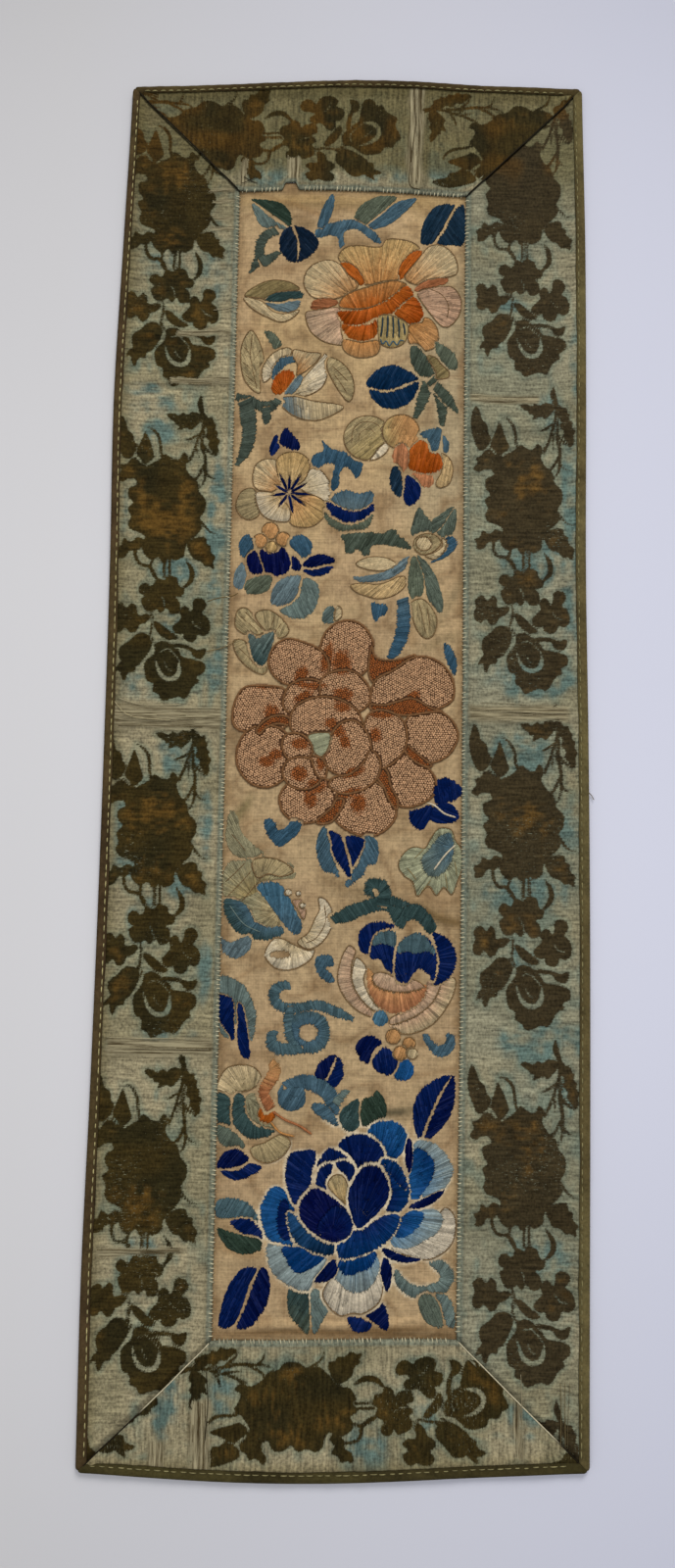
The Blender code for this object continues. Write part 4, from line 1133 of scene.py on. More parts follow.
def fanLines(shape, *heart):
    # from the heart outwards; every other line starts further out, where there is room for it
    heart = np.array(heart, float)
    away = shape - heart
    far = np.linalg.norm(away, axis=1)
    middle = math.atan2(*(shape.mean(axis=0) - heart)[::-1])
    turn = (np.arctan2(away[:, 1], away[:, 0]) - middle + np.pi) % (2 * np.pi) - np.pi
    low, high, nearest, reach = turn.min(), turn.max(), far.min(), far.max()
    if within(heart[:1], heart[1:], shape)[0]:
        low, high, nearest = -np.pi, np.pi, 0.3
    step = satin["pitch"] / (0.80 * reach)
    turns = middle + np.arange(low + step / 2, high, step)
    inner = np.maximum(np.resize([0.0, 0.48, 0.30, 0.48], len(turns)) * reach, nearest - 0.3)
    d = np.stack([np.cos(turns), np.sin(turns)], axis=1)
    return heart + d * inner[:, None], d, reach + 0.3 - inner


def straightLines(shape, grain):
    # even lines at the grain's angle, from one side of the shape to the other
    d = np.array(turnOf(grain))
    n, pitch = leftOf(d), satin["pitch"]
    along, across = shape @ d, shape @ n
    at = np.arange(across.min() + pitch / 2, across.max(), pitch)
    start = n * at[:, None] + d * (along.min() - 0.2)
    return start, np.tile(d, (len(at), 1)), np.full(len(at), along.max() - along.min() + 0.4)


def lineSet(region):
    # start points, directions and lengths of the scan lines
    shape, grain = region["shape"], region["grain"]
    if not isinstance(grain, tuple):
        return straightLines(shape, grain)
    return ruledLines(*grain[1:]) if grain[0] == "ruled" else fanLines(shape, *grain[1:])


def sewStitches():
    # a row a stitch: its two ends, its region's number, and a number shared by the stitches of a bunch
    rng = np.random.default_rng(satin["seed"])
    rows, step = [], 0.12
    for number, region in enumerate(regions, 1):
        if region["kind"] == "knot":
            continue
        start, d, size = lineSet(region)
        if len(start) == 0:
            continue
        t = np.arange(0, size.max(), step)
        own = shapeAt(start[:, :1] + d[:, :1] * t, start[:, 1:] + d[:, 1:] * t) == number
        own &= t < size[:, None]
        edge = np.diff(np.pad(own, ((0, 0), (1, 1))).astype(np.int8), axis=1)
        line, first = np.nonzero(edge == 1)
        last = np.nonzero(edge == -1)[1] - 1
        keep = (last - first) * step > satin["shortest"]
        line, low, high = line[keep], first[keep] * step, last[keep] * step
        over = 0.65 if region["tight"] else 0.0  # laid close against its neighbour
        low = low + rng.uniform(-0.5, 0.5, len(low)) * satin["tooth"] - over
        high = high + rng.uniform(-0.5, 0.5, len(low)) * satin["tooth"] + over
        pieces = np.maximum(1, np.ceil((high - low) / satin["longest"] - 0.25)).astype(int)
        for count in range(1, pieces.max(initial=1) + 1):
            which = np.flatnonzero(pieces == count)
            if not len(which):
                continue
            cuts = np.linspace(0, 1, count + 1)[None] + np.zeros((len(which), 1))
            cuts[:, 1:-1] += rng.uniform(-0.42, 0.42, (len(which), count - 1)) / count
            at, span = line[which], (high - low)[which]
            for k in range(count):
                a = low[which] + cuts[:, k] * span - (0.25 if k else 0.0)
                b = low[which] + cuts[:, k + 1] * span
                rows.append(np.column_stack([start[at] + d[at] * a[:, None], start[at] + d[at] * b[:, None],
                                             np.full(len(at), number), number * 37 + at // 3 + k * 911]))
    return np.vstack(rows)


def flossAt(region, points, rng):
    # tone at the outer end, second near the heart, threads of the two mingled between
    tone, shade, grain = floss[region["tone"]], region["shade"], region["grain"]
    if not region["second"]:
        return np.tile(seen(tone), (len(points), 1))
    if shade:
        p, q = np.array(shade[1:3], float), np.array(shade[3:5], float)
        share = (points - p) @ (q - p) / ((q - p) @ (q - p))
    elif isinstance(grain, tuple):
        heart = np.array(grain[1:3], float)
        far = np.linalg.norm(region["shape"] - heart, axis=1)
        share = (np.linalg.norm(points - heart, axis=1) - far.min()) / (far.max() - far.min()) * 1.25
    else:
        low, high = region["shape"][:, 1].min(), region["shape"][:, 1].max()
        share = (points[:, 1] - low) / (high - low)
    return toward(seen(floss[region["second"]]), tone, soft01(share + rng.normal(0, 0.12, len(points))))


def buildStitches():
    # each stitch is a low ridge of four three-cornered rings, on the silk and the padding under its shape
    rng = np.random.default_rng(satin["seed"] + 1)
    rows = sewStitches()
    start, step, numbers = rows[:, :2], rows[:, 2:4] - rows[:, :2], rows[:, 4].astype(int)
    size = np.linalg.norm(step, axis=1)
    near = np.minimum(0.3, 0.55 / size)
    share = np.stack([0 * near, near, 1 - near, 0 * near + 1], axis=1)
    centre = start[:, None] + step[:, None] * share[..., None]
    x, y = centre[..., 0], centre[..., 1]
    high = silkTop(x, y) + np.array([-0.05, 0.7, 0.7, -0.05]) * satin["arch"]
    color = np.zeros(centre.shape[:2] + (3,))
    for number in np.unique(numbers):
        region, which = regions[number - 1], np.flatnonzero(numbers == number)
        high[which] += satin["puff"] * soft01(offEdge(x[which], y[which], region["shape"]) / 1.8)
        ends = flossAt(region, centre[which][:, (0, 3)].reshape(-1, 2), rng).reshape(len(which), 2, 3)
        mix = share[which][..., None]
        color[which] = ends[:, None, 0] * (1 - mix) + ends[:, None, 1] * mix
    bunch = rng.normal(0, satin["bunchSpread"], 4096)[rows[:, 5].astype(int) % 4096]
    tone = (1 + bunch + rng.normal(0, satin["toneSpread"], len(rows)))[:, None, None]
    slow = 1 + 0.08 * cloud(x, y, 3.0, 21)[..., None]
    # the small amount added to threads lighter than their tone is a painted sheen
    color = color * np.clip(tone, 0.5, 1.6) * slow + 0.005 * np.clip(tone - 1, 0, 0.5) / 0.2
    high = high + rng.uniform(0, 0.06, (len(rows), 1))
    half = satin["wide"] / 2 * np.array([0.4, 1.0, 1.0, 0.4])[:, None]
    side = leftOf(step / size[:, None])[:, None] * half
    peak = high + satin["tall"] * np.array([0.35, 1.0, 1.0, 0.35])
    corner = np.zeros((len(rows), 4, 3, 3))
    for k, (at, level) in enumerate(((centre + side, high), (centre - side, high), (centre, peak))):
        corner[:, :, k, :2], corner[:, :, k, 2] = at, level
    quads, caps = ringFaces(np.arange(12).reshape(4, 3)), np.array([[0, 1, 2], [11, 10, 9]])
    batch = satin["batch"]
    for k in range(0, len(rows), batch):
        points = corner[k : k + batch].reshape(-1, 3)
        offset = np.arange(0, len(points), 12)[:, None, None]
        faces = (quads + offset).reshape(-1, 4)
        faces = faces[:, ::-1] if turnsIn(points, faces) else faces
        shades = np.repeat(color[k : k + batch], 3, axis=1).reshape(-1, 3)
        onPanel.append(makePiece(f"satin_stitches_{k // batch + 1}", points,
                                 [faces, (caps + offset).reshape(-1, 3)], satinThread, {"floss": shades}))
    print("satin stitches:", len(rows))


def knotSpots(rng):
    # a net of places turned a little for each petal, kept where the petal shows: x, y, lift, rusty or not
    spots, pitch = [], knot["pitch"]
    for number, region in enumerate(regions, 1):
        if region["kind"] != "knot":
            continue
        shape, (c, s) = region["shape"], turnOf(17 * number)
        low, high = shape.min(axis=0), shape.max(axis=0)
        mid, reach = (low + high) / 2, np.linalg.norm(high - low) / 2
        i, j = np.meshgrid(np.arange(-reach, reach, pitch), np.arange(-reach, reach, pitch * 0.866),
                           indexing="ij")
        i = i + (np.arange(i.shape[1]) % 2) * pitch / 2
        x, y = mid[0] + i * c - j * s, mid[1] + i * s + j * c
        x, y = (x + rng.normal(0, 0.07, x.shape)).ravel(), (y + rng.normal(0, 0.07, x.shape)).ravel()
        own = shapeAt(x, y) == number
        for dx, dy in ((1, 0), (-1, 0), (0, 1), (0, -1)):
            own &= shapeAt(x + dx * 0.55, y + dy * 0.55) == number
        x, y = x[own], y[own]
        away = offEdge(x, y, shape)
        rusty = np.full(len(x), region["tone"] == "rusty")
        spots.append(np.column_stack([x, y, 0.75 * soft01(away / 3.5), rusty])[away > knot["rimGap"]])
    return np.vstack(spots).T


def buildKnots():
    # each knot is a small dome of two six-cornered rings and a peak
    rng = np.random.default_rng(23)
    x, y, lift, rusty = knotSpots(rng)
    spot = np.zeros(len(x))
    for cx, cy, rx, ry, heading in rustSpots:
        u, v = alongLine(x, y, cx, cy, heading)
        spot = np.maximum(spot, soft01(1.35 - 0.75 * np.hypot(u / rx, v / ry)))
    rusty = np.maximum(rusty, soft01(0.5 + 1.3 * (spot - rng.uniform(0.35, 0.75, len(x)))))
    buff = seen(knot["buffTone"]) * (1 + 0.04 * cloud(x, y, 5.0, 31)[:, None])
    color = toward(buff, knot["rustTone"], rusty) * (1 + rng.normal(0, 0.10, (len(x), 1)))
    turn = rng.uniform(0, np.pi, len(x))[:, None] + np.arange(6) * np.pi / 3
    size = knot["size"] * (1 + rng.normal(0, 0.06, len(x)))[:, None]
    base = silkTop(x, y) + lift
    rings = [np.stack([x[:, None] + np.cos(turn) * size * share, y[:, None] + np.sin(turn) * size * share,
                       np.broadcast_to((base + knot["tall"] * level)[:, None], turn.shape)], axis=2)
             for share, level in ((1.0, 0.0), (0.92, 0.5))]
    points = np.concatenate(rings + [np.stack([x, y, base + knot["tall"]], axis=1)[:, None]], axis=1)
    n, m = np.arange(6), (np.arange(6) + 1) % 6
    faces = (np.stack([n, m, m + 6, n + 6], axis=1), np.stack([n + 6, m + 6, n * 0 + 12], axis=1),
             n[None, ::-1])
    offset = (np.arange(len(x)) * 13)[:, None, None]
    faces = [(f + offset).reshape(-1, f.shape[1]) for f in faces]
    onPanel.append(makePiece("peony_knots", points.reshape(-1, 3), faces, knotThread,
                             {"floss": np.repeat(color, 13, axis=0)}))
    print("knots:", len(x))


def tubePiece(name, strands, material, corners):
    # strands: (points n by 3, radius n, colour 3 or n by 3, flatness); one mesh of closed tubes
    allPoints, allColors, quads, caps, count = [], [], [], [], 0
    turn = np.arange(corners) * 2 * np.pi / corners + np.pi / 2
    c, s = np.cos(turn)[:, None], np.sin(turn)[:, None]
    for path, radius, color, flatness in strands:
        along = unit(np.gradient(path, axis=0))
        side = unit(np.cross(along, [0.0, 0.0, 1.0]))
        lift, radius = np.cross(side, along)[:, None], np.broadcast_to(radius, len(path))[:, None, None]
        ring = path[:, None] + radius * (c * side[:, None] + flatness * s * lift)
        allPoints.append(ring.reshape(-1, 3))
        allColors.append(np.repeat(np.broadcast_to(color, (len(path), 3)), corners, axis=0))
        k = count + np.arange(len(path) * corners).reshape(-1, corners)
        quads.append(ringFaces(k)[:, (0, 3, 2, 1)])
        caps += [k[0, ::-1], k[-1]]
        count += k.size
    points, quads, caps = np.vstack(allPoints), np.vstack(quads), np.array(caps)
    if turnsIn(points, quads):
        quads, caps = quads[:, ::-1], caps[:, ::-1]
    return makePiece(name, points, [quads, caps], material, {"floss": np.vstack(allColors)})


def shownRims(region, number, step, inset, test):
    # stretches of a shape's outline that nothing later has covered
    shape = region["shape"]
    path = spacedOut(shape, step, True)
    inward = unit(leftOf(np.roll(path, -1, axis=0) - np.roll(path, 1, axis=0)))
    if np.cross(shape, np.roll(shape, -1, axis=0)).sum() <= 0:
        inward = -inward
    shown = shapeAt(*(path + inward * test).T) == number
    if shown.all():
        shown[0] = False
    start = int(np.argmin(shown))
    line, shown = np.roll(path + inward * inset, -start, axis=0), np.roll(shown, -start)
    edge = np.diff(np.concatenate([[0], shown.astype(int), [0]]))
    return [line[a:b] for a, b in zip(np.flatnonzero(edge == 1), np.flatnonzero(edge == -1)) if b - a > 4]


# pale petals are edged with a fine darker thread
outlined = {
    "tones": ("cream", "yellowCream", "white", "bone", "peach", "pink", "palePink", "yellowGreen",
              "paleGreen", "tan", "olive", "lightOrange", "silk"),
    "color": (104, 82, 54), "wide": 0.42,
}


def buildCords():
    # a twisted cord round each petal of knots, a fine thread round the pale satin ones, and the drawn lines
    rng = np.random.default_rng(5)
    thick, thin = [], []

    def couch(strands, path, above, radius, color, spread, flatness):
        tone = seen(color) * (1 + rng.normal(0, spread, (len(path), 1)))
        strands.append((np.column_stack([path, silkTop(*path.T) + above]), radius, tone, flatness))

    for number, region in enumerate(regions, 1):
        if region["kind"] == "knot":
            for part in shownRims(region, number, 0.45, 0.35, 0.7):
                twist = 1 + 0.13 * np.sin(np.arange(len(part)) * 2.4)
                couch(thick, part, 0.42, knot["cordWide"] / 2 * twist, knot["cordTone"], 0.10, 0.85)
        elif region["tone"] in outlined["tones"]:
            for part in shownRims(region, number, 0.7, 0.1, 0.4):
                couch(thin, part, 0.34, outlined["wide"] / 2, outlined["color"], 0.14, 0.8)
    for path, tone, wide in cords:
        n = np.arange(len(path))
        taper = np.minimum(1.0, 0.5 + np.minimum(n, n[::-1]) * 0.25)
        couch(thin, path, 0.62, wide / 2 * taper, floss[tone], 0.1, 0.8)
    onPanel.append(tubePiece("peony_cords", thick, knotThread, 5))
    onPanel.append(tubePiece("petal_outlines", thin, satinThread, 4))
    print("cords and outlines:", len(thick), len(thin))


onPanel = []
buildStitches()
buildKnots()
buildCords()


# ---- the silk panel
def silkTint(x, y):
    # tan gold, browner in stains, greyer green high on the right; painted shade along creases, folds, the
    # window's edge and between the knots, and a painted highlight above the bottom crease
    bare = mapRead(bareMap, x, y)
    color = tinted(
        np.tile(seen(panel["gold"]), x.shape + (1,)),
        ((161, 134, 92), 0.7 * soft01((y + 60) / 260) * (0.5 + 0.5 * cloud(x, y, 34, 41))),
        ((146, 121, 90), 0.55 * soft01(0.5 + 0.8 * cloud(x, y, 17, 42) - 0.2)),
        ((138, 124, 96), 0.7 * soft01((x - 8) / 34) * soft01((y - 60) / 60) * soft01((225 - y) / 40)),
        ((114, 90, 60), 0.6 * soft01(1.5 * cloud(x, y, 7, 43) - 0.25)))
    roundPeony = soft01((44 - np.hypot(x - 8, (y + 196) / 0.95)) / 5)
    color = tinted(
        color * (1 + 0.09 * cloud(x, y, 2.6, 45))[..., None],
        ((188, 174, 146), 0.85 * roundPeony * soft01((0.8 - bare) / 0.3)),
        # painted shade: darker along thin crease lines
        ((108, 84, 56), 0.7 * creaseAt(x, y, 1.2) ** 7 * (0.4 + 0.6 * bare)))
    # stains, painted shadows along creases and folds, and a painted highlight above the bottom crease
    for cx, cy, heading, half, wide, much, rgb in panel["stainsAndPaintedLight"]:
        along, across = alongLine(x, y, cx, cy, heading)
        across = across + 0.8 * cloud(x, y, 7.0, 44)
        color = toward(color, rgb, much * soft01(1.5 - np.abs(along) / half) * bell(across / wide))
    # painted shade: the silk under the knot petals is painted dark brown, for the shaded holes between the knots
    under = np.isin(shapeAt(x, y), [n for n, region in enumerate(regions, 1) if region["kind"] == "knot"])
    # then painted shade: darker within 3.5 mm of the window's edge, beside the ribbons' raised edges
    return tinted(color, ((92, 62, 40), 1.0 * under), ((100, 78, 50), 0.5 * soft01(1 - rimGap(x, y) / 3.5)))


def countFor(length, step):
    # an odd number of grid lines about a step apart
    return 2 * int(round(length / step / 2)) + 1


def buildPanel():
    # a grid between the window's four corners, running on past them by the lap
    lap, (wide, tall), corner = panel["lap"], panel["window"], outline["window"]
    columns, rows = countFor(wide + 2 * lap, panel["step"]), countFor(tall + 2 * lap, panel["step"])
    u, v = np.meshgrid(np.linspace(0, 1, columns), np.linspace(0, 1, rows), indexing="xy")
    u, v = u * (1 + 2 * lap / wide) - lap / wide, v * (1 + 2 * lap / tall) - lap / tall
    x, y = ((corner["bottomLeft"][k] * (1 - u) + corner["bottomRight"][k] * u) * (1 - v)
            + (corner["topLeft"][k] * (1 - u) + corner["topRight"][k] * u) * v for k in (0, 1))
    high = silkTop(x, y)
    low = np.maximum(panel["under"], high - panel["thick"])
    top, under, flat = (np.stack(axes, axis=2) for axes in ((x, y, high), (x, y, low), (x, y)))
    piece = closedSheet("panel_silk_sheet", top, under, panelSilk, {"tint": silkTint(x, y)}, {}, flat)
    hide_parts("embroidered_panel")
    return piece, (wide + 2 * lap) * mm, (tall + 2 * lap) * mm


panelPiece, panelWide, panelLong = buildPanel()
print("panel made")

# ---- woven ribbons
ribbon = {
    "wide": 51.0, "thick": 0.45, "step": 0.92, "tuck": 1.4, "lapTread": 6.5, "overEdge": 1.3, "repeat": 140.7,
    "ground": (118, 110, 84), "figure": (47, 38, 16),
    "stretch": {"right": 0.9936},  # this strip is stretched a little
    # of the upright strips, then of the others: how far they run on under the mitre, in mm
    "mitreLap": {True: 3.5, False: 0.0},
    # outer and inner length and the width of a strip as cut, in metres
    "flat": {True: (0.600, 0.492), False: (0.208, 0.102)}, "flatWide": 0.053,
    # shadow along a mitre, for the upper and the lower ends: strength, reach, ease
    "endShade": {True: ((0.8, 1.1, 0.9), (0.45, 3.4, 1.6)), False: ((0.7, 0.9, 0.7), (0.0, 0.9, 0.7))},
    # soft folds: station, width, height
    "folds": {
        "left": ((179.5, 3.2, 0.9), (157.5, 2.6, 0.7), (115, 4, 0.5), (8, 6, 0.7), (-130, 5, 0.7),
            (60, 9, 0.3), (-60, 12, 0.3)),
        "right": ((140, 4, 0.7), (10, 4, 0.7), (-4, 4, 0.6), (-190, 11, 0.4), (80, 12, 0.3)),
        "bottom": ((-66, 4, 0.6), (-52, 5, 0.6), (20, 12, 0.3)),
        "top": ((-52, 5, 0.5), (36, 5, 0.7), (70, 10, 0.3)),
    },
    # frayed bands: place along the strip, half width, and from where to where across it
    "frayed": {
        "left": ((8, 5, 4, 50), (-130, 3.6, 6, 50), (179.5, 1.4, 26, 50), (157.5, 1.6, 24, 50),
            (246, 0.8, 38, 50), (241, 0.8, 40, 50), (234, 0.8, 40, 50), (229, 0.8, 40, 50),
            (-212, 1.4, 6, 40)),
        "right": ((12, 3.4, 8, 50), (152, 1.8, 20, 50)),
        "top": ((-27, 2.5, 36, 50), (28, 3.2, 3, 48), (-49, 1.5, 36, 50)),
        "bottom": ((-54, 4, 4, 30), (-70, 3, 4, 14), (74, 1.6, 6, 40), (92, 2.4, 10, 36)),
    },
    # where the pattern's repeat starts along each strip, and how far it is set in from the outer edge
    "start": {"left": (148.5, -102.5), "right": (155.5, 52.5), "top": (27.5, 248.8), "bottom": (-64.5, -295.0)},
    # worn places where the blue-green weft shows: across, along, half sizes, strength
    "teal": {
        "left": (46,88,4,30,1, 17,146,9,4,.7, 20,134,6,5,.8, 16,211,10,5,.6, 43,205,6,12,.4, 30,72,8,5,.9,
            28,48,5,4,.9, 48,28,4,8,.8, 15,20,8,6,.6, 5,98,2,12,.8, 12,153,8,3,.9, 33,-9,10,7,.8,
            45,-38,3,14,.8, 12,-55,6,6,.7, 34,-64,6,5,.9, 19,-78,6,10,.7, 30,-126,12,4,.8, 8,-40,3,12,.6,
            22,-212,8,5,.8, 46,-100,3,12,.7),
        "right": (19,78,16,9,1, 6,110,4,28,.9, 22,26,16,7,.9, 7,60,5,14,.7, 28,-7,12,10,.9, 27,-64,16,9,.9,
            20,-126,16,8,.9, 8,-38,6,9,.7, 16,145,6,8,.7, 27,212,4,8,.8, 33,195,8,3,.9, 20,-212,14,7,.9,
            10,-150,3,10,.7, 4,170,3,20,.6, 36,270,6,9,.8, 28,-92,6,4,.8),
        "top": (43,-38,7,8,.9, 44,15,5,12,.6, 38,40,9,6,1, 8,52,7,5,.9, 30,18,8,7,.5, 10,-85,5,6,.8),
        "bottom": (28,-68,12,5,1, 34,-45,9,5,.8, 12,12,10,9,.7, 26,36,7,4,.7, 20,76,8,6,.9),
    },
}
# the woven figures over one repeat, u across the strip and v along it
weave = {
    "cell": 0.25,
    "figures": (
        (19.5,27.5, 22.5,24.5, 25.5,26.5, 28.5,27, 30,24, 32.5,26.5, 31.5,30.5, 33.5,34.5, 36.5,37.5,
         37.5,41.5, 40.5,45, 40.5,50, 38.5,53.5, 39,58.5, 33.5,64.5, 32,67.5, 31.5,71, 27.5,73, 25.5,71.5,
         22.5,73.5, 20.5,71, 17.5,72.5, 14.5,70.5, 13,66.5, 14.5,62.5, 11.5,60.5, 8.5,59.5, 7,56.5, 8,53.5,
         6.5,49.5, 9,47, 7,44.5, 7,40.5, 10.5,38.5, 9.5,36, 12.5,33.5, 14.5,30.5),
        (38,62, 41,62.5, 41.5,65, 43.5,66, 43.5,68.5, 46,71, 45,73, 45.5,76, 42.5,74.5, 41,75, 38.5,72.5,
         36,72, 33.5,68.5, 33,64.5),
        (14.5,30.5, 11,29, 8.5,27, 6.5,28, 5,30, 2.5,31, 3.5,33.5, 1.5,36.5, 4.5,38, 6.5,36.5, 12.5,35.5),
        (14.5,64.5, 11.5,62.5, 9,64.5, 6,63, 5,66, 2.5,67, 3.5,69.5, 3,72, 6.5,71.5, 8.5,68.5, 11.5,68.5),
        (2.5,7.5, 4.5,10.5, 5.5,14, 8,16, 8.5,19, 10,21.5, 8.5,25.5, 6,27.5, 3.5,26.5, 1,19.5, 0.5,13.5),
        (13.5,14.5, 16.5,22.5, 17.5,26.5, 13.5,30, 11.5,27.5, 9.5,24.5, 12,18),
        (37.5,6.5, 33.5,5.5, 31.5,7, 29.5,6, 27.5,7.5, 25.5,6.5, 22,7, 24.5,9.5, 26,10, 26.5,11.5, 28.5,11.5,
         27.5,14, 31.5,12.5, 33.5,13.5, 37.5,9),
        (39,6, 41,8, 42.5,7.5, 43.5,10.5, 44.5,10.5, 44,13.5, 45.5,14.5, 45,17, 46.5,18.5, 45.5,21, 46,23,
         44.5,25.5, 42.5,22.5, 41,20.5, 41.5,18.5, 39.5,16.5, 40,13.5, 38,10.5),
        (20.5,80.5, 23.5,81.5, 25,79.5, 29,80.5, 30,83.5, 32.5,85.5, 31.5,88.5, 28.5,89, 30.5,91, 30.5,95.5,
         26.5,96.5, 25,94, 22.5,96.5, 20.5,94.5, 19,95.5, 16,95.5, 14,92.5, 13.5,89.5, 15.5,88.5, 13,86.5,
         13.5,83.5, 16,82.5, 18.5,84),
        (36.5,90.5, 38.5,89, 41.5,90, 42.5,93, 40.5,96, 42.5,97, 44,100.5, 43.5,104, 41,105.5, 39,104.5,
         38,107.5, 35.5,108.5, 32.5,107, 32.5,105, 30.5,105.5, 28.5,104.5, 27.5,102, 31,98, 30.5,95,
         32.5,92.5, 34.5,93.5, 35.5,95.5, 36.5,93),
        (10,91.5, 12,93.5, 12.5,97, 16.5,96.5, 18,98, 15.5,101, 13.5,101.5, 12,104.5, 9.5,105, 7.5,102.5,
         5.5,104.5, 3,103.5, 2.5,100.5, 3.5,97.5, 2.5,94.5, 4.5,92, 6.5,92, 8,94),
        (16.5,105.5, 19,108.5, 18.5,112, 15,118, 13,119, 12.5,121.5, 9.5,122, 8,126, 6.5,124, 6,121.5,
         3.5,122.5, 5,119, 6.5,117.5, 5.5,115, 6,111.5, 9.5,108.5, 12.5,105.5),
        (19.5,100, 22.5,100.5, 27.5,104.5, 30.5,107, 27.5,108, 24.5,107, 21.5,104.5),
        (26,111, 29.5,109.5, 34.5,110, 39,111.5, 42.5,110.5, 42,114, 40,115.5, 37,114.5, 35,112),
        (21,109, 20,113, 16.5,117.5, 16.5,122, 17.5,125.5, 20,127, 20,130.5, 22.5,132, 24.5,134.5, 30.5,132.5,
         34,133, 37.5,127.5, 40.5,125.5, 39.5,123.5, 42.5,121.5, 42.5,118, 40,116.5, 35,115.5, 32.5,115,
         31,112.5, 29,111.5, 27.5,109.5, 24.5,108),
    ),
    # stems and tendrils: a path, and its width along it
    "bands": (
        ((14,12.5, 16.5,13.5, 19,16.5, 20,20.5, 20.5,24.5, 22.5,28.5), (0.7, 1.3, 1.5, 1.4, 1.4, 1.4)),
        ((37,-2.5, 37,1.5, 38,5, 38.5,8.5), (0.8, 2.6, 2.2, 2)),
        ((38.5,6.5, 38,12.5, 36.5,17.5, 35,22.5, 32.5,28.5), (1.6, 1.5, 1.3, 1.3, 1.3)),
        ((36.5,15.5, 33.5,17.5, 30.5,18.5), (1, 1.3, 0.6)),
        ((38.5,13.5, 38.5,20.5, 39.5,26.5, 39.5,35), (1.2, 1.5, 1.5, 1.3)),
        ((39,29.5, 37,34, 35,36, 31.5,36.5), (1.2, 1.3, 1.2, 1.2)),
        ((39.5,32.5, 41.5,35, 44.5,36), (1.2, 1.1, 0.5)), ((39.5,34, 39,37, 37.5,40), (1.1, 1.1, 0.5)),
        ((38.5,19.5, 41,23, 44,25.5), (1.1, 1.4, 0.6)), ((37,19.5, 36.5,24, 37,27), (0.7, 0.9, 0.4)),
        ((37.5,53, 40,56.5, 42.5,59.5, 46,60.5), (1.4, 1.3, 1.1, 0.5)),
        ((10.5,67.5, 11,72, 13,75, 16.5,75.5, 19,78, 20.5,81.5), (1.4, 1.5, 1.5, 1.7, 1.6, 1.4)),
        ((18,71.5, 17.5,76.5, 19.5,80.5), (1.3, 1.3, 1)), ((23.5,71.5, 23.5,80.5), (1.3, 1.3)),
        ((25.5,71.5, 26,80.5), (1.2, 1.2)), ((32.5,72.5, 35,77, 35,81.5, 32,85), (0.8, 2.2, 2.4, 1.2)),
        ((18.5,94.5, 19,102.5, 17.5,107.5), (0.9, 0.9, 0.9)),
        ((19.5,97.5, 18.5,104.5, 21,110.5), (0.8, 0.9, 0.9)), ((9,26.5, 11.5,30, 14.5,32.5), (0.8, 1, 0.9)),
    ),
    # pale turns inside the rose and between petals
    "turns": (
        ((20.5,116, 22.5,121.5, 25.5,124.5, 29,124.5, 31,122, 31.5,117.5), (0.5, 1.2, 1.8, 1.9, 1.9, 0.7)),
        ((22.5,112.5, 26,111.5, 29.5,114.5, 31.5,117), (0.3, 0.5, 0.5, 0.4)),
        ((24.5,117, 26,120, 28,121.5), (0.3, 0.5, 0.3)), ((22,88.5, 23.5,91, 24,94), (0.3, 0.5, 0.3)),
        ((36,98.5, 38,101, 41,102), (0.3, 0.5, 0.3)),
    ),
}


def bandOf(points, widths):
    a, b = swathe(points, widths, 0.8)
    return np.vstack([a, b[::-1]])


def patternTable():
    # signed distance to the woven figure over one repeat: u across the strip, v along it
    cell, repeat = weave["cell"], ribbon["repeat"]
    u, v = np.arange(-3, 56, cell), np.arange(0, repeat, cell)
    away = np.full((len(u), len(v)), 4.0)

    def near(shape):
        # the part of the table within 4 mm of a shape, and the distance from its edge there
        low, high = shape.min(axis=0) - 4, shape.max(axis=0) + 4
        part = np.ix_((u > low[0]) & (u < high[0]), (v > low[1]) & (v < high[1]))
        px, py = np.broadcast_arrays(u[part[0]], v[part[1]])
        return part, offEdge(px, py, shape) * np.where(within(px, py, shape), -1, 1)

    for shape in [blob(*xy) for xy in weave["figures"]] + [bandOf(*band) for band in weave["bands"]]:
        for move in (-repeat, 0.0, repeat):
            part, far = near(shape + [0, move])
            away[part] = np.minimum(away[part], far)
    for band in weave["turns"]:
        part, far = near(bandOf(*band))
        away[part] = np.maximum(away[part], -far)
    return away


figureTable = patternTable()


def figureAway(u, v):
    # the table read between its cells, its far end joined to its start
    i, j = (np.clip(u, -2.9, 55.4) + 3) / weave["cell"], (v % ribbon["repeat"]) / weave["cell"]
    a, b = np.floor(i).astype(int), np.floor(j).astype(int)
    rows, n = figureTable.shape
    return readNet(figureTable, a, b % n, np.minimum(a + 1, rows - 1), (b + 1) % n, i - a, j - b)


def stripGrid(side):
    # a strip's grid: rows run across it, from the outer edge to the window, and turn with its mitred ends
    low, high = edgeEnds(side, ribbon["tuck"])
    a, b, k = windowEnds(side)
    f = np.linspace(0, 1, countFor(ribbon["wide"], ribbon["step"]))[None]
    # the lap grows from nothing at the outer corner
    extend = ribbon["mitreLap"][upright(side)] / (high - low) * soft01((f - 0.02) * 8)
    s = np.linspace(0, 1, countFor(high - low, ribbon["step"]))[:, None] * (1 + 2 * extend) - extend
    along = (low + (high - low) * s) * (1 - f) + (a[k] + (b[k] - a[k]) * s) * f
    across = outward(side) * (outerAt(side, along) - ribbon["tuck"]) * (1 - f) + innerAt(side, along) * f
    if side == "top":
        notch = soft01((along + 32) / 2) * soft01((-24 - along) / 2) * 3.6  # worn away at the inner edge
        across = across + notch * soft01((f - 0.8) / 0.2)
    return across, along, s, f


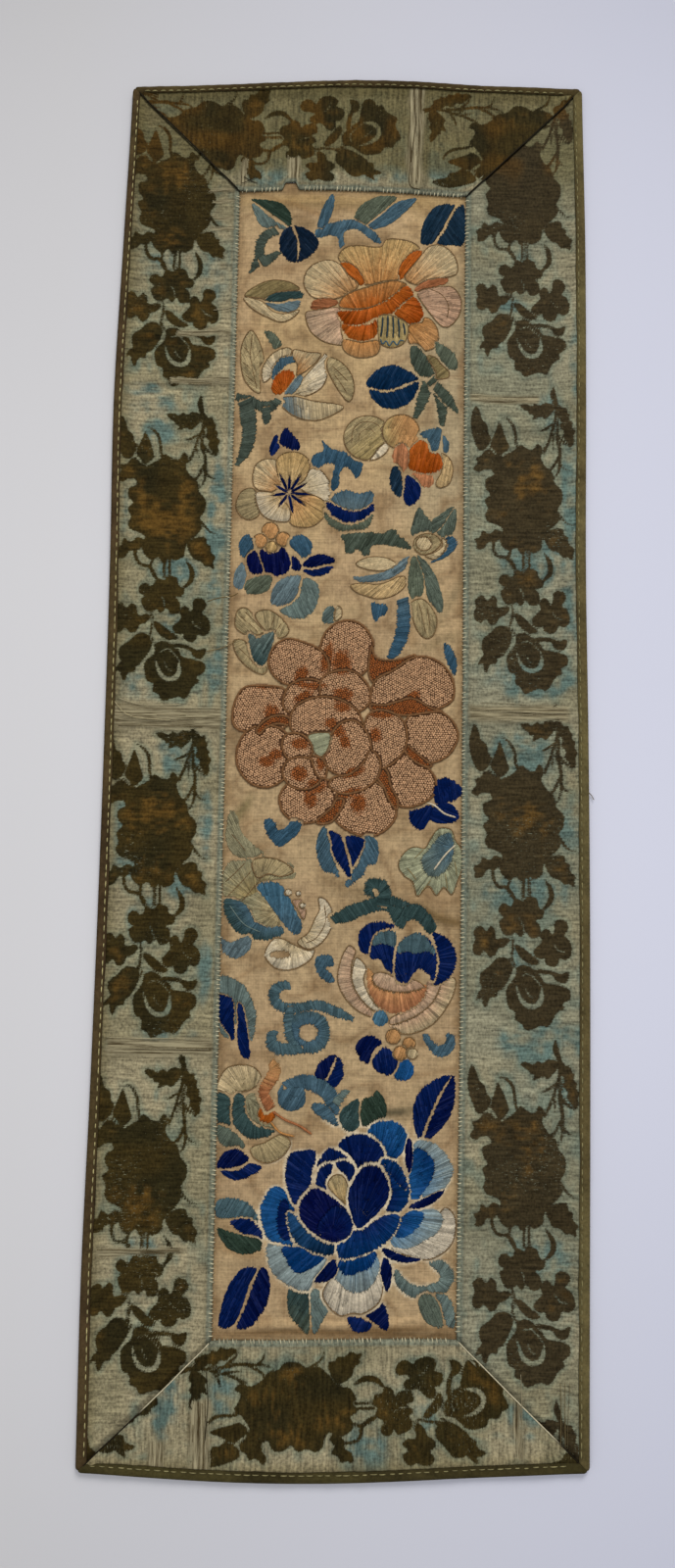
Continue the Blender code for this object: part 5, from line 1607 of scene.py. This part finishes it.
def buildRibbon(side):
    tall, across, along, s, f = upright(side), *stripGrid(side)
    x, y = (across, along) if tall else (along, across)
    u, inner = f * ribbon["wide"] + ribbon["tuck"], (1 - f) * ribbon["wide"]
    reach = np.minimum(s, 1 - s) * runOf(side)
    mist = lambda size, seed: cloud(x, y, size, seed)
    drawn = lambda size, seed, ax, al: cloud(x * (ax if tall else al), y * (al if tall else ax), size, seed)

    # underside: over the binding's lip, on the ground, then up over the panel's edge
    tread = (panel["under"] + panel["thick"] + 0.12) * soft01((ribbon["lapTread"] + 3.0 - inner) / 3.0)
    low = 0.06 + ribbon["overEdge"] * soft01((8.0 - u) / 4.0) + tread
    folds = 0.10 * (1 + mist(26.0, 51)) + 0.09 * (1 + drawn(9.0, 52, 3, 1))
    for centre, wide, lift in ribbon["folds"][side]:
        folds = folds + lift * bell((along - centre - 0.05 * (u - 25)) / wide) * (0.7 + 0.3 * mist(12, 53))
    low = low + folds * soft01((u - 4) / 5) * soft01(inner / 3.0)
    if not tall:
        low = low + 0.55 * soft01((7.0 - reach) / 4.0)
    top, under = (np.stack([x, y, level], axis=2) for level in (low + ribbon["thick"], low))

    # the pattern runs down the left strip; on the ends it is turned a quarter
    start, setIn = ribbon["start"][side]
    v = (start - along if tall else along - start) * ribbon["stretch"].get(side, 1.0)
    away = figureAway(across - setIn + 0.5 * mist(8.0, 54), v + 0.6 * mist(9.0, 55))

    # the ground's tints, then the figure's
    streaks = cloud(across * 0.5, along, 1.3, 65) + 0.8 * cloud(across, along * 0.3, 3.0, 64)
    mottle = drawn(2.6, 56, 1.0, 0.4) * 0.6 + mist(5.0, 57) * 0.6
    patches = np.zeros(x.shape)
    for cu, cv, ru, rv, much in np.reshape(ribbon["teal"][side], (-1, 5)):
        patches = np.maximum(patches, much * soft01(1.7 - 1.1 * np.hypot((u - cu) / ru, (along - cv) / rv)))
    ground = tinted(
        np.tile(seen(ribbon["ground"]), x.shape + (1,)),
        ((138, 127, 100), 0.6 * soft01(0.4 + 1.2 * mist(24.0, 69))),
        ((90, 100, 86), 0.8 * soft01(0.9 * mottle + 0.7 * mist(15.0, 58) - 0.1)),
        ((84, 94, 78), 0.5 * soft01(1 - away / 2.5)),
        ((98, 105, 92), 0.4 * soft01(0.8 + 0.6 * mist(20.0, 77)) * (side == "right")),
        ((80, 96, 88), soft01(patches * (0.8 + 0.8 * mottle + 0.35 * streaks))),
        ((88, 79, 52), 0.85 * soft01((10 - u) / 8) * (side != "right")),
        ((84, 76, 46), 0.75 * soft01((y - 232) / 30) * soft01((inner - 4) / 10)))
    weft = 1 + 0.10 * cloud(u * 0.18, along, 1.6, 66) + 0.08 * cloud(u * 0.1, along, 4.0, 67)
    ground = ground * (weft + 0.10 * cloud(u, along, 1.8, 70))[..., None]
    ground = toward(ground, (98, 104, 90), 0.7 * soft01((2.6 - inner) / 0.8))
    rusty = mist(16.0, 61) + 0.7 * bell((y - 86) / 18) * (side == "left") + 0.5 * streaks - 0.2
    figure = tinted(
        np.tile(seen(ribbon["figure"]), x.shape + (1,)),
        ((37, 32, 15), soft01(0.4 + mist(11.0, 60))),
        ((51, 43, 28), np.full(x.shape, 0.8 * (side == "right"))),
        ((96, 68, 26), 0.5 * soft01(-away / 5 + 0.1) * soft01(rusty)),
        ((86, 58, 18), 0.4 * soft01((y - 240) / 30) * soft01(0.3 + mist(9.0, 62))))
    figure = figure * (1 + 0.13 * streaks + 0.10 * cloud(across, along, 2.0, 59))[..., None]

    # wear, and the shading of folds, edges and mitres
    frayed = np.zeros(x.shape)
    for centre, half, first, last in ribbon["frayed"][side]:
        bend = centre + 1.2 * cloud(u, along * 0 + centre, 9.0, 68)
        ends = soft01((u - first) / 3 + 0.5), soft01((last - u) / 3 + 0.5)
        frayed = np.maximum(frayed, soft01(1.5 - np.abs(along - bend) / half) * ends[0] * ends[1])
    worn = np.maximum(np.clip(0.1 + 0.5 * mist(18.0, 63), 0, 1), 2.0 * frayed)
    much, far, ease = (np.where(y > 0, *pair) for pair in zip(*ribbon["endShade"][tall]))
    # painted shade: darker towards the top end, more on the left, as the light falls off there
    shade = 1 - (0.14 - 0.05 * x / 100) * soft01((y - 185) / 50)
    shade = shade * (1 - much * soft01((far - np.abs(reach)) / ease))
    shade = shade * (1 - 0.35 * soft01((0.6 - inner) / 0.6)) * (1 - 0.4 * bell((inner - 2.3) / 0.5))
    for centre, wide, lift in ribbon["folds"][side]:
        shade = shade * (1 - 0.32 * min(1.0, lift) * bell((along - centre + wide * 0.8) / (wide * 0.5)))

    ribbonTops[side] = (top, along, u)
    # the ground and figure colours carry the painted shade
    piece = closedSheet("ribbon_" + side + "_sheet", top, under, ribbonSilk,
                        {"ground": ground * shade[..., None], "figure": figure * shade[..., None]},
                        {"away": away, "worn": worn, "frayed": frayed}, np.stack([across, along], axis=2))
    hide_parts("ribbon_" + side)
    return piece


ribbonTops = {}
ribbonPieces = {side: buildRibbon(side) for side in sides}
print("ribbons made")

# ---- binding folded round the outer edge
binding = {
    "step": 2.4, "cornerRows": (0.5, 1.2, 2.0, 3.2), "runPitch": 3.7, "dash": 2.8,
    "olive": {"left": (66, 56, 32), "right": (88, 80, 50), "bottom": (66, 60, 32), "top": (66, 57, 32)},
    "tone": {"left": (58, 45, 28), "right": (76, 66, 40), "bottom": (50, 44, 24), "top": (56, 45, 25)},
    # how much of it shows on the face at each end of a side
    "width": {"left": (4.6, 3.5), "right": (4.7, 4.4), "bottom": (4.5, 4.6), "top": (3.4, 3.7)},
    # section as (inset share of the width, height, painted shade factor): under lip, roll, top lip, then back
    # inside
    "section": (
        (1.0, 0.05, 1), (0.3, 0.05, 1), (0.08, 0.25, 1), (0.0, 0.9, 1), (0.02, 1.7, 1), (0.10, 2.35, 1),
        (0.25, 2.68, 1), (0.5, 2.72, 1), (0.8, 2.52, 0.9), (0.97, 2.3, 0.7), (1.0, 2.1, 0.4),
        (0.9, 2.02, 0.4), (0.5, 2.2, 0.4), (0.2, 2.1, 0.4), (0.13, 1.6, 0.4), (0.13, 0.95, 0.4),
        (0.22, 0.56, 0.4), (1.0, 0.5, 0.4),
    ),
}


def edgePoint(side, inset, s):
    # a point on the outer edge moved inwards; the first and last rows turn with the rounded corner
    low, high = edgeEnds(side, inset)
    radius = np.maximum(outline["cornerRound"] - inset, 0.5)
    along = low + (high - low) * s
    near = np.minimum(along - low, high - along)
    # the quarter round, halved between the two sides
    drawn = radius * 0.2929 * np.clip(1 - near / (radius * 0.7071), 0, 1) ** 2
    across = outward(side) * (outerAt(side, along) - inset - drawn)
    along = np.where(s < 0.5, along + drawn, along - drawn)
    return (across, along) if upright(side) else (along, across)


def faceWidth(side, s):
    first, last = binding["width"][side]
    return first + (last - first) * s


def buildBinding(side):
    # the section is carried along the side, its width and height wavering a little
    run, corner = runOf(side), np.array(binding["cornerRows"]) / runOf(side)
    s = np.linspace(0, 1, int(round(run / binding["step"])) + 1)
    s = np.unique(np.concatenate([s, corner, 1 - corner]))
    waver = lambda line, size, seed: cloud(s * run, s * 0 + line, size, seed)
    width = faceWidth(side, s) + (0.25 * waver(3.0, 17.0, 71 + len(side)) + 0.12 * waver(9.0, 5.0, 72))
    swell = 0.14 * waver(5.0, 6.0, 73) + 0.08 * np.sin(s * run * 2 * np.pi / binding["runPitch"])
    rings = [np.stack([*edgePoint(side, share * width, s), level + swell * (level > 1.9)], axis=1)
             for share, level, _ in binding["section"]]
    points = np.stack(rings, axis=1).reshape(-1, 3)
    n = np.arange(len(points)).reshape(len(s), -1)
    quads, caps = ringFaces(n), np.array([n[0], n[-1][::-1]])
    if turnsIn(points, quads):
        quads, caps = quads[:, ::-1], caps[:, ::-1]
    tint = np.tile(seen(binding["tone"][side]), (len(points), 1))
    tint = tint * (1 + 0.22 * cloud(points[:, 0], points[:, 1], 9.0, 75))[:, None]
    olive = soft01(0.2 + 1.1 * cloud(points[:, 0], points[:, 1], 24.0, 76)) * 0.5
    # painted shade: the top lip's inner edge and the faces turned back inside are darkened
    bright = np.tile([part[2] for part in binding["section"]], len(s))
    tint = toward(tint, binding["olive"][side], olive) * bright[:, None]
    piece = makePiece("binding_" + side + "_fold", points, [quads, caps], bindingSilk, {"tint": tint})
    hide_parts("binding_" + side)
    return piece


bindingPieces = {side: buildBinding(side) for side in sides}
print("bindings made")

# ---- sewing: whip stitches along the window, running stitches on the binding
sewing = {
    "whipPitch": 1.75, "whipLong": 1.7, "whipTone": (160, 152, 124), "runTone": (150, 140, 96),
    # the last pair holds the painted shadow and painted highlight colours of the mitre lines
    "threadTones": ((142, 132, 104), (88, 76, 50)), "mitreShadeTones": ((26, 21, 13), (168, 158, 130)),
    # stray threads: a path, and its colour
    "strays": (
        ((-98, 13.5, -95, 10, -91, 7.5, -84, 6.5, -74, 6), (150, 138, 106)),
        ((-96, 15, -86, 12.5, -70, 13), (148, 138, 110)),
        ((-60, 58, -55, 59.5, -50, 60.5, -47, 62), (96, 78, 44)),
        ((-60, 36, -55, 37, -51, 38.5, -46, 42), (104, 86, 54)),
        ((-61, 190, -55, 190.5, -50, 192.5), (140, 130, 104)),
        ((102, -21, 104.5, -22.5, 106, -25), (92, 80, 50)),
        ((27, 292, 27.6, 280, 26.4, 268, 25, 254, 26, 249.5, 30, 248.4), (64, 52, 30)),
        ((-51.5, -258, -50.6, -270, -51.4, -284), (44, 38, 24)),
        ((-50, 249, -46, 251, -43.5, 252.5), (30, 25, 16)),
        ((-49, 252.5, -45.5, 250.5, -43, 249.8), (30, 25, 16)),
    ),
}


def whipStitches():
    # each rises out of the silk and lies over the ribbon's edge
    rng = np.random.default_rng(81)
    strands, steps = [], np.array([-0.35, 0.0, 0.45, 1.0])
    for side in sides:
        a, b, k = windowEnds(side)
        at = np.arange(a[k] + 1.5, b[k] - 1.0, sewing["whipPitch"])
        at = at + rng.normal(0, 0.15, len(at))
        for along in at[rng.random(len(at)) > 0.08]:
            if side == "top" and -33 < along < -22:
                continue
            run = along + rng.normal(0.25, 0.12) * steps
            reach = outward(side) * steps * sewing["whipLong"] * rng.uniform(0.75, 1.1)
            out = float(innerAt(side, along)) + reach
            path = np.column_stack([*((out, run) if k else (run, out)), (0.62, 1.2, 1.28, 1.12)])
            path[:, 2] += np.where(steps < 0, silkRise(path[:, 0], path[:, 1]), 0)
            tone = seen(sewing["whipTone"]) * (1 + rng.normal(0, 0.2))
            strands.append((path, np.array([0.14, 0.24, 0.24, 0.14]), tone, 0.8))
    return tubePiece("whip_stitches", strands, sewThread, 4)


def runningStitches():
    # short dashes three quarters of the way in, brighter on the left
    rng = np.random.default_rng(82)
    strands = []
    for side in sides:
        run, faint = runOf(side), {"left": 1.0, "top": 0.72}.get(side, 0.56)
        at = np.arange(4.0, run - 4.0, binding["runPitch"])
        for place in at + rng.normal(0, 0.2, len(at)):
            dash = binding["dash"] * rng.uniform(0.8, 1.15)
            s = (place + np.linspace(-0.5, 0.5, 4) * dash) / run
            inset = float(faceWidth(side, s).mean()) * 0.76 + rng.normal(0, 0.06)
            path = np.column_stack([*edgePoint(side, inset, s), (2.45, 2.72, 2.72, 2.45)])
            tone = seen(sewing["runTone"]) * faint * (1 + rng.normal(0, 0.12))
            strands.append((path, np.array([0.12, 0.24, 0.24, 0.12]), tone, 0.7))
    return tubePiece("running_stitches", strands, sewThread, 4)


def overCloth(xy, above):
    # a path laid on whichever cloth is under it: the nearest point of a ribbon's grid, or the silk
    tops = np.vstack([top.reshape(-1, 3) for top, _, _ in ribbonTops.values()])
    far = np.hypot(tops[:, 0] - xy[:, :1], tops[:, 1] - xy[:, 1:])
    high = np.where(far.min(axis=1) < 1.2, tops[far.argmin(axis=1), 2], silkTop(*xy.T))
    return np.column_stack([xy, high + above])


def frayedThread(side, band, rng):
    # a loose thread across a frayed band, read off the strip's grid and arched a little; None if too short
    (top, along, u), (centre, half, first, last) = ribbonTops[side], band
    ends = np.sort(rng.uniform(first, last, 2)) if rng.random() < 0.7 else (first, last)
    across = np.arange(ends[0], ends[1], 1.6)
    if len(across) < 4:
        return None
    column = np.interp(across, u[0], np.arange(top.shape[1])).astype(int)
    place = centre + rng.uniform(-1, 1) * half
    place = place + rng.normal(0, 0.4) * np.sin(across / rng.uniform(6, 14) + rng.uniform(0, 6))
    row = (place - along[0, column]) / (along[-1, column] - along[0, column]) * (len(along) - 1)
    low = np.clip(row.astype(int), 0, len(along) - 2)
    part = (row - low)[:, None]
    path = top[low, column] * (1 - part) + top[low + 1, column] * part
    bow = np.sin(np.linspace(0, np.pi, len(path)))
    path = path + [0, 0, 0.12] + np.outer(bow, [0, 0, rng.uniform(0, 0.5)])
    tone = seen(sewing["threadTones"][int(rng.random() >= 0.6)]) * (1 + rng.normal(0, 0.12))
    return path, rng.uniform(0.09, 0.15), tone, 0.9


def looseThreads():
    # a few threads for each frayed band, then the strays
    rng = np.random.default_rng(83)
    made = [frayedThread(side, band, rng) for side in sides for band in ribbon["frayed"][side]
            for _ in range(int(1 + 1.3 * band[1]))]
    strands = [strand for strand in made if strand]
    for flat, tone in sewing["strays"]:
        path = throughPoints(flat, 1.4)
        strands.append((overCloth(path, 0.35 + 0.25 * math.sin(len(path))), 0.17, seen(tone), 0.9))
    return tubePiece("loose_threads", strands, sewThread, 4)


def mitreShadeLines():
    # each end strip's turned edge, drawn as thin tubes of painted light: a painted shadow in the slit at the
    # top; at the bottom a painted shadow at the outer end, then a painted highlight along the fold
    strands, (dark, light) = [], sewing["mitreShadeTones"]
    for side, radius, pales in (("bottom", 0.27, (0.42, 0.16)), ("top", 0.24, (9, 9))):
        for row, paleFrom in zip((0, -1), pales):
            path = spacedOut(ribbonTops[side][0][row, 2:-1] + [0, 0, 0.1], 2.5)
            pale = soft01((np.linspace(0, 1, len(path)) - paleFrom) * 12)
            strands.append((path, radius, toward(seen(dark), light, pale), 0.6))
    return tubePiece("mitre_shadow_and_highlight", strands, sewThread, 6)


whipPiece, runningPiece = whipStitches(), runningStitches()
threadPiece, mitreShadePiece = looseThreads(), mitreShadeLines()
print("sewing made")

# ---- everything rides on the one body; the loop after works out each strip's size as cut and keeps nothing
for piece in (*onPanel, panelPiece, whipPiece, runningPiece, threadPiece, mitreShadePiece, *ribbonPieces.values(),
              *bindingPieces.values()):
    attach(piece, "root")
for side in sides:
    (long, short), wide = ribbon["flat"][upright(side)], ribbon["flatWide"]
    wide * (long + short) / 2


# ---- floor, lamps and camera
def placed(thing, place, across, up, back):
    # puts a lamp or camera in the scene at a place, its three axes given
    holder = bpy.data.objects.new(thing.name, thing)
    holder.matrix_world = Matrix([row for row in zip(across, up, back, place)] + [(0, 0, 0, 1)])
    bpy.context.scene.collection.objects.link(holder)
    return holder


def lamp(name, place, size, watts, color):
    # a round lamp turned to the middle of the band; its sides are crosswise to the way it shines
    light = bpy.data.lights.new(name, "AREA")
    light.shape, light.size, light.energy, light.color = "DISK", size, watts, color
    back = unit(np.array(place))
    side = unit(np.cross(-back, [0.0, 1.0, 0.0]))
    placed(light, place, side, np.cross(back, side), back)


def floorPiece():
    # paler round the band's middle, dimmer towards the corners of the view and its top: a painted light falloff
    # in the floor's colour, with a painted cooler light towards the right
    f = Finish("floor", Roughness=0.9, Specular_IOR_Level=0.1)
    where = f.place()
    measure = lambda kind, axis: f.node("ShaderNodeVectorMath", {"operation": kind}, {0: where, 1: axis}, 1)
    far, up = measure("LENGTH", (0, 0, 0)), measure("DOT_PRODUCT", (0, 1, 0))
    right = measure("DOT_PRODUCT", (1, 0, 0))
    shade = f.span(far * far, 0.0, 0.25, 0.904, 0.585) + f.span(up, -0.35, 0.35, 0.06, -0.06)
    shade = shade + f.span(f.noise(where, 4.0, 1.0), 0.3, 0.7, -0.012, 0.012)
    green, blue = (shade * f.span(right, -0.13, 0.13, *ends) for ends in ((1.0, 1.03), (0.96, 1.13)))
    paintedFalloff = f.node("ShaderNodeCombineColor", {}, {0: shade, 1: green, 2: blue})
    f.into("Base Color", f.mix(1.0, (*seen(look["floorSeen"]), 1.0), paintedFalloff, "MULTIPLY"))
    points = np.array([(-3000, -3000, 0), (3000, -3000, 0), (3000, 3000, 0), (-3000, 3000, 0)], float)
    piece = makePiece("floor", points, [np.array([[0, 1, 2, 3]])], f.material)


floorPiece()
lamp("key", (0.45, 1.80, 1.45), 1.1, look["keyWatts"], (1.0, 0.99, 0.97))
lamp("fill", (-0.45, -0.35, 1.1), 1.2, look["fillWatts"], (0.97, 0.98, 1.0))
world = bpy.data.worlds.new("room")
world.use_nodes = True
skyNode = world.node_tree.nodes["Background"]
skyNode.inputs["Color"].default_value = (*(np.array(look["worldSeen"]) / 255), 1.0)
skyNode.inputs["Strength"].default_value = look["worldStrength"]
bpy.context.scene.world = world
bpy.context.scene.view_settings.view_transform = "Standard"

lens = bpy.data.cameras.new("camera")
lens.lens, lens.sensor_width, lens.sensor_fit = camera["lens"], 36.0, "AUTO"
lens.clip_start = 0.02
bpy.context.scene.camera = placed(lens, camera["place"], camera["across"], camera["up"], camera["back"])
print("stage set")
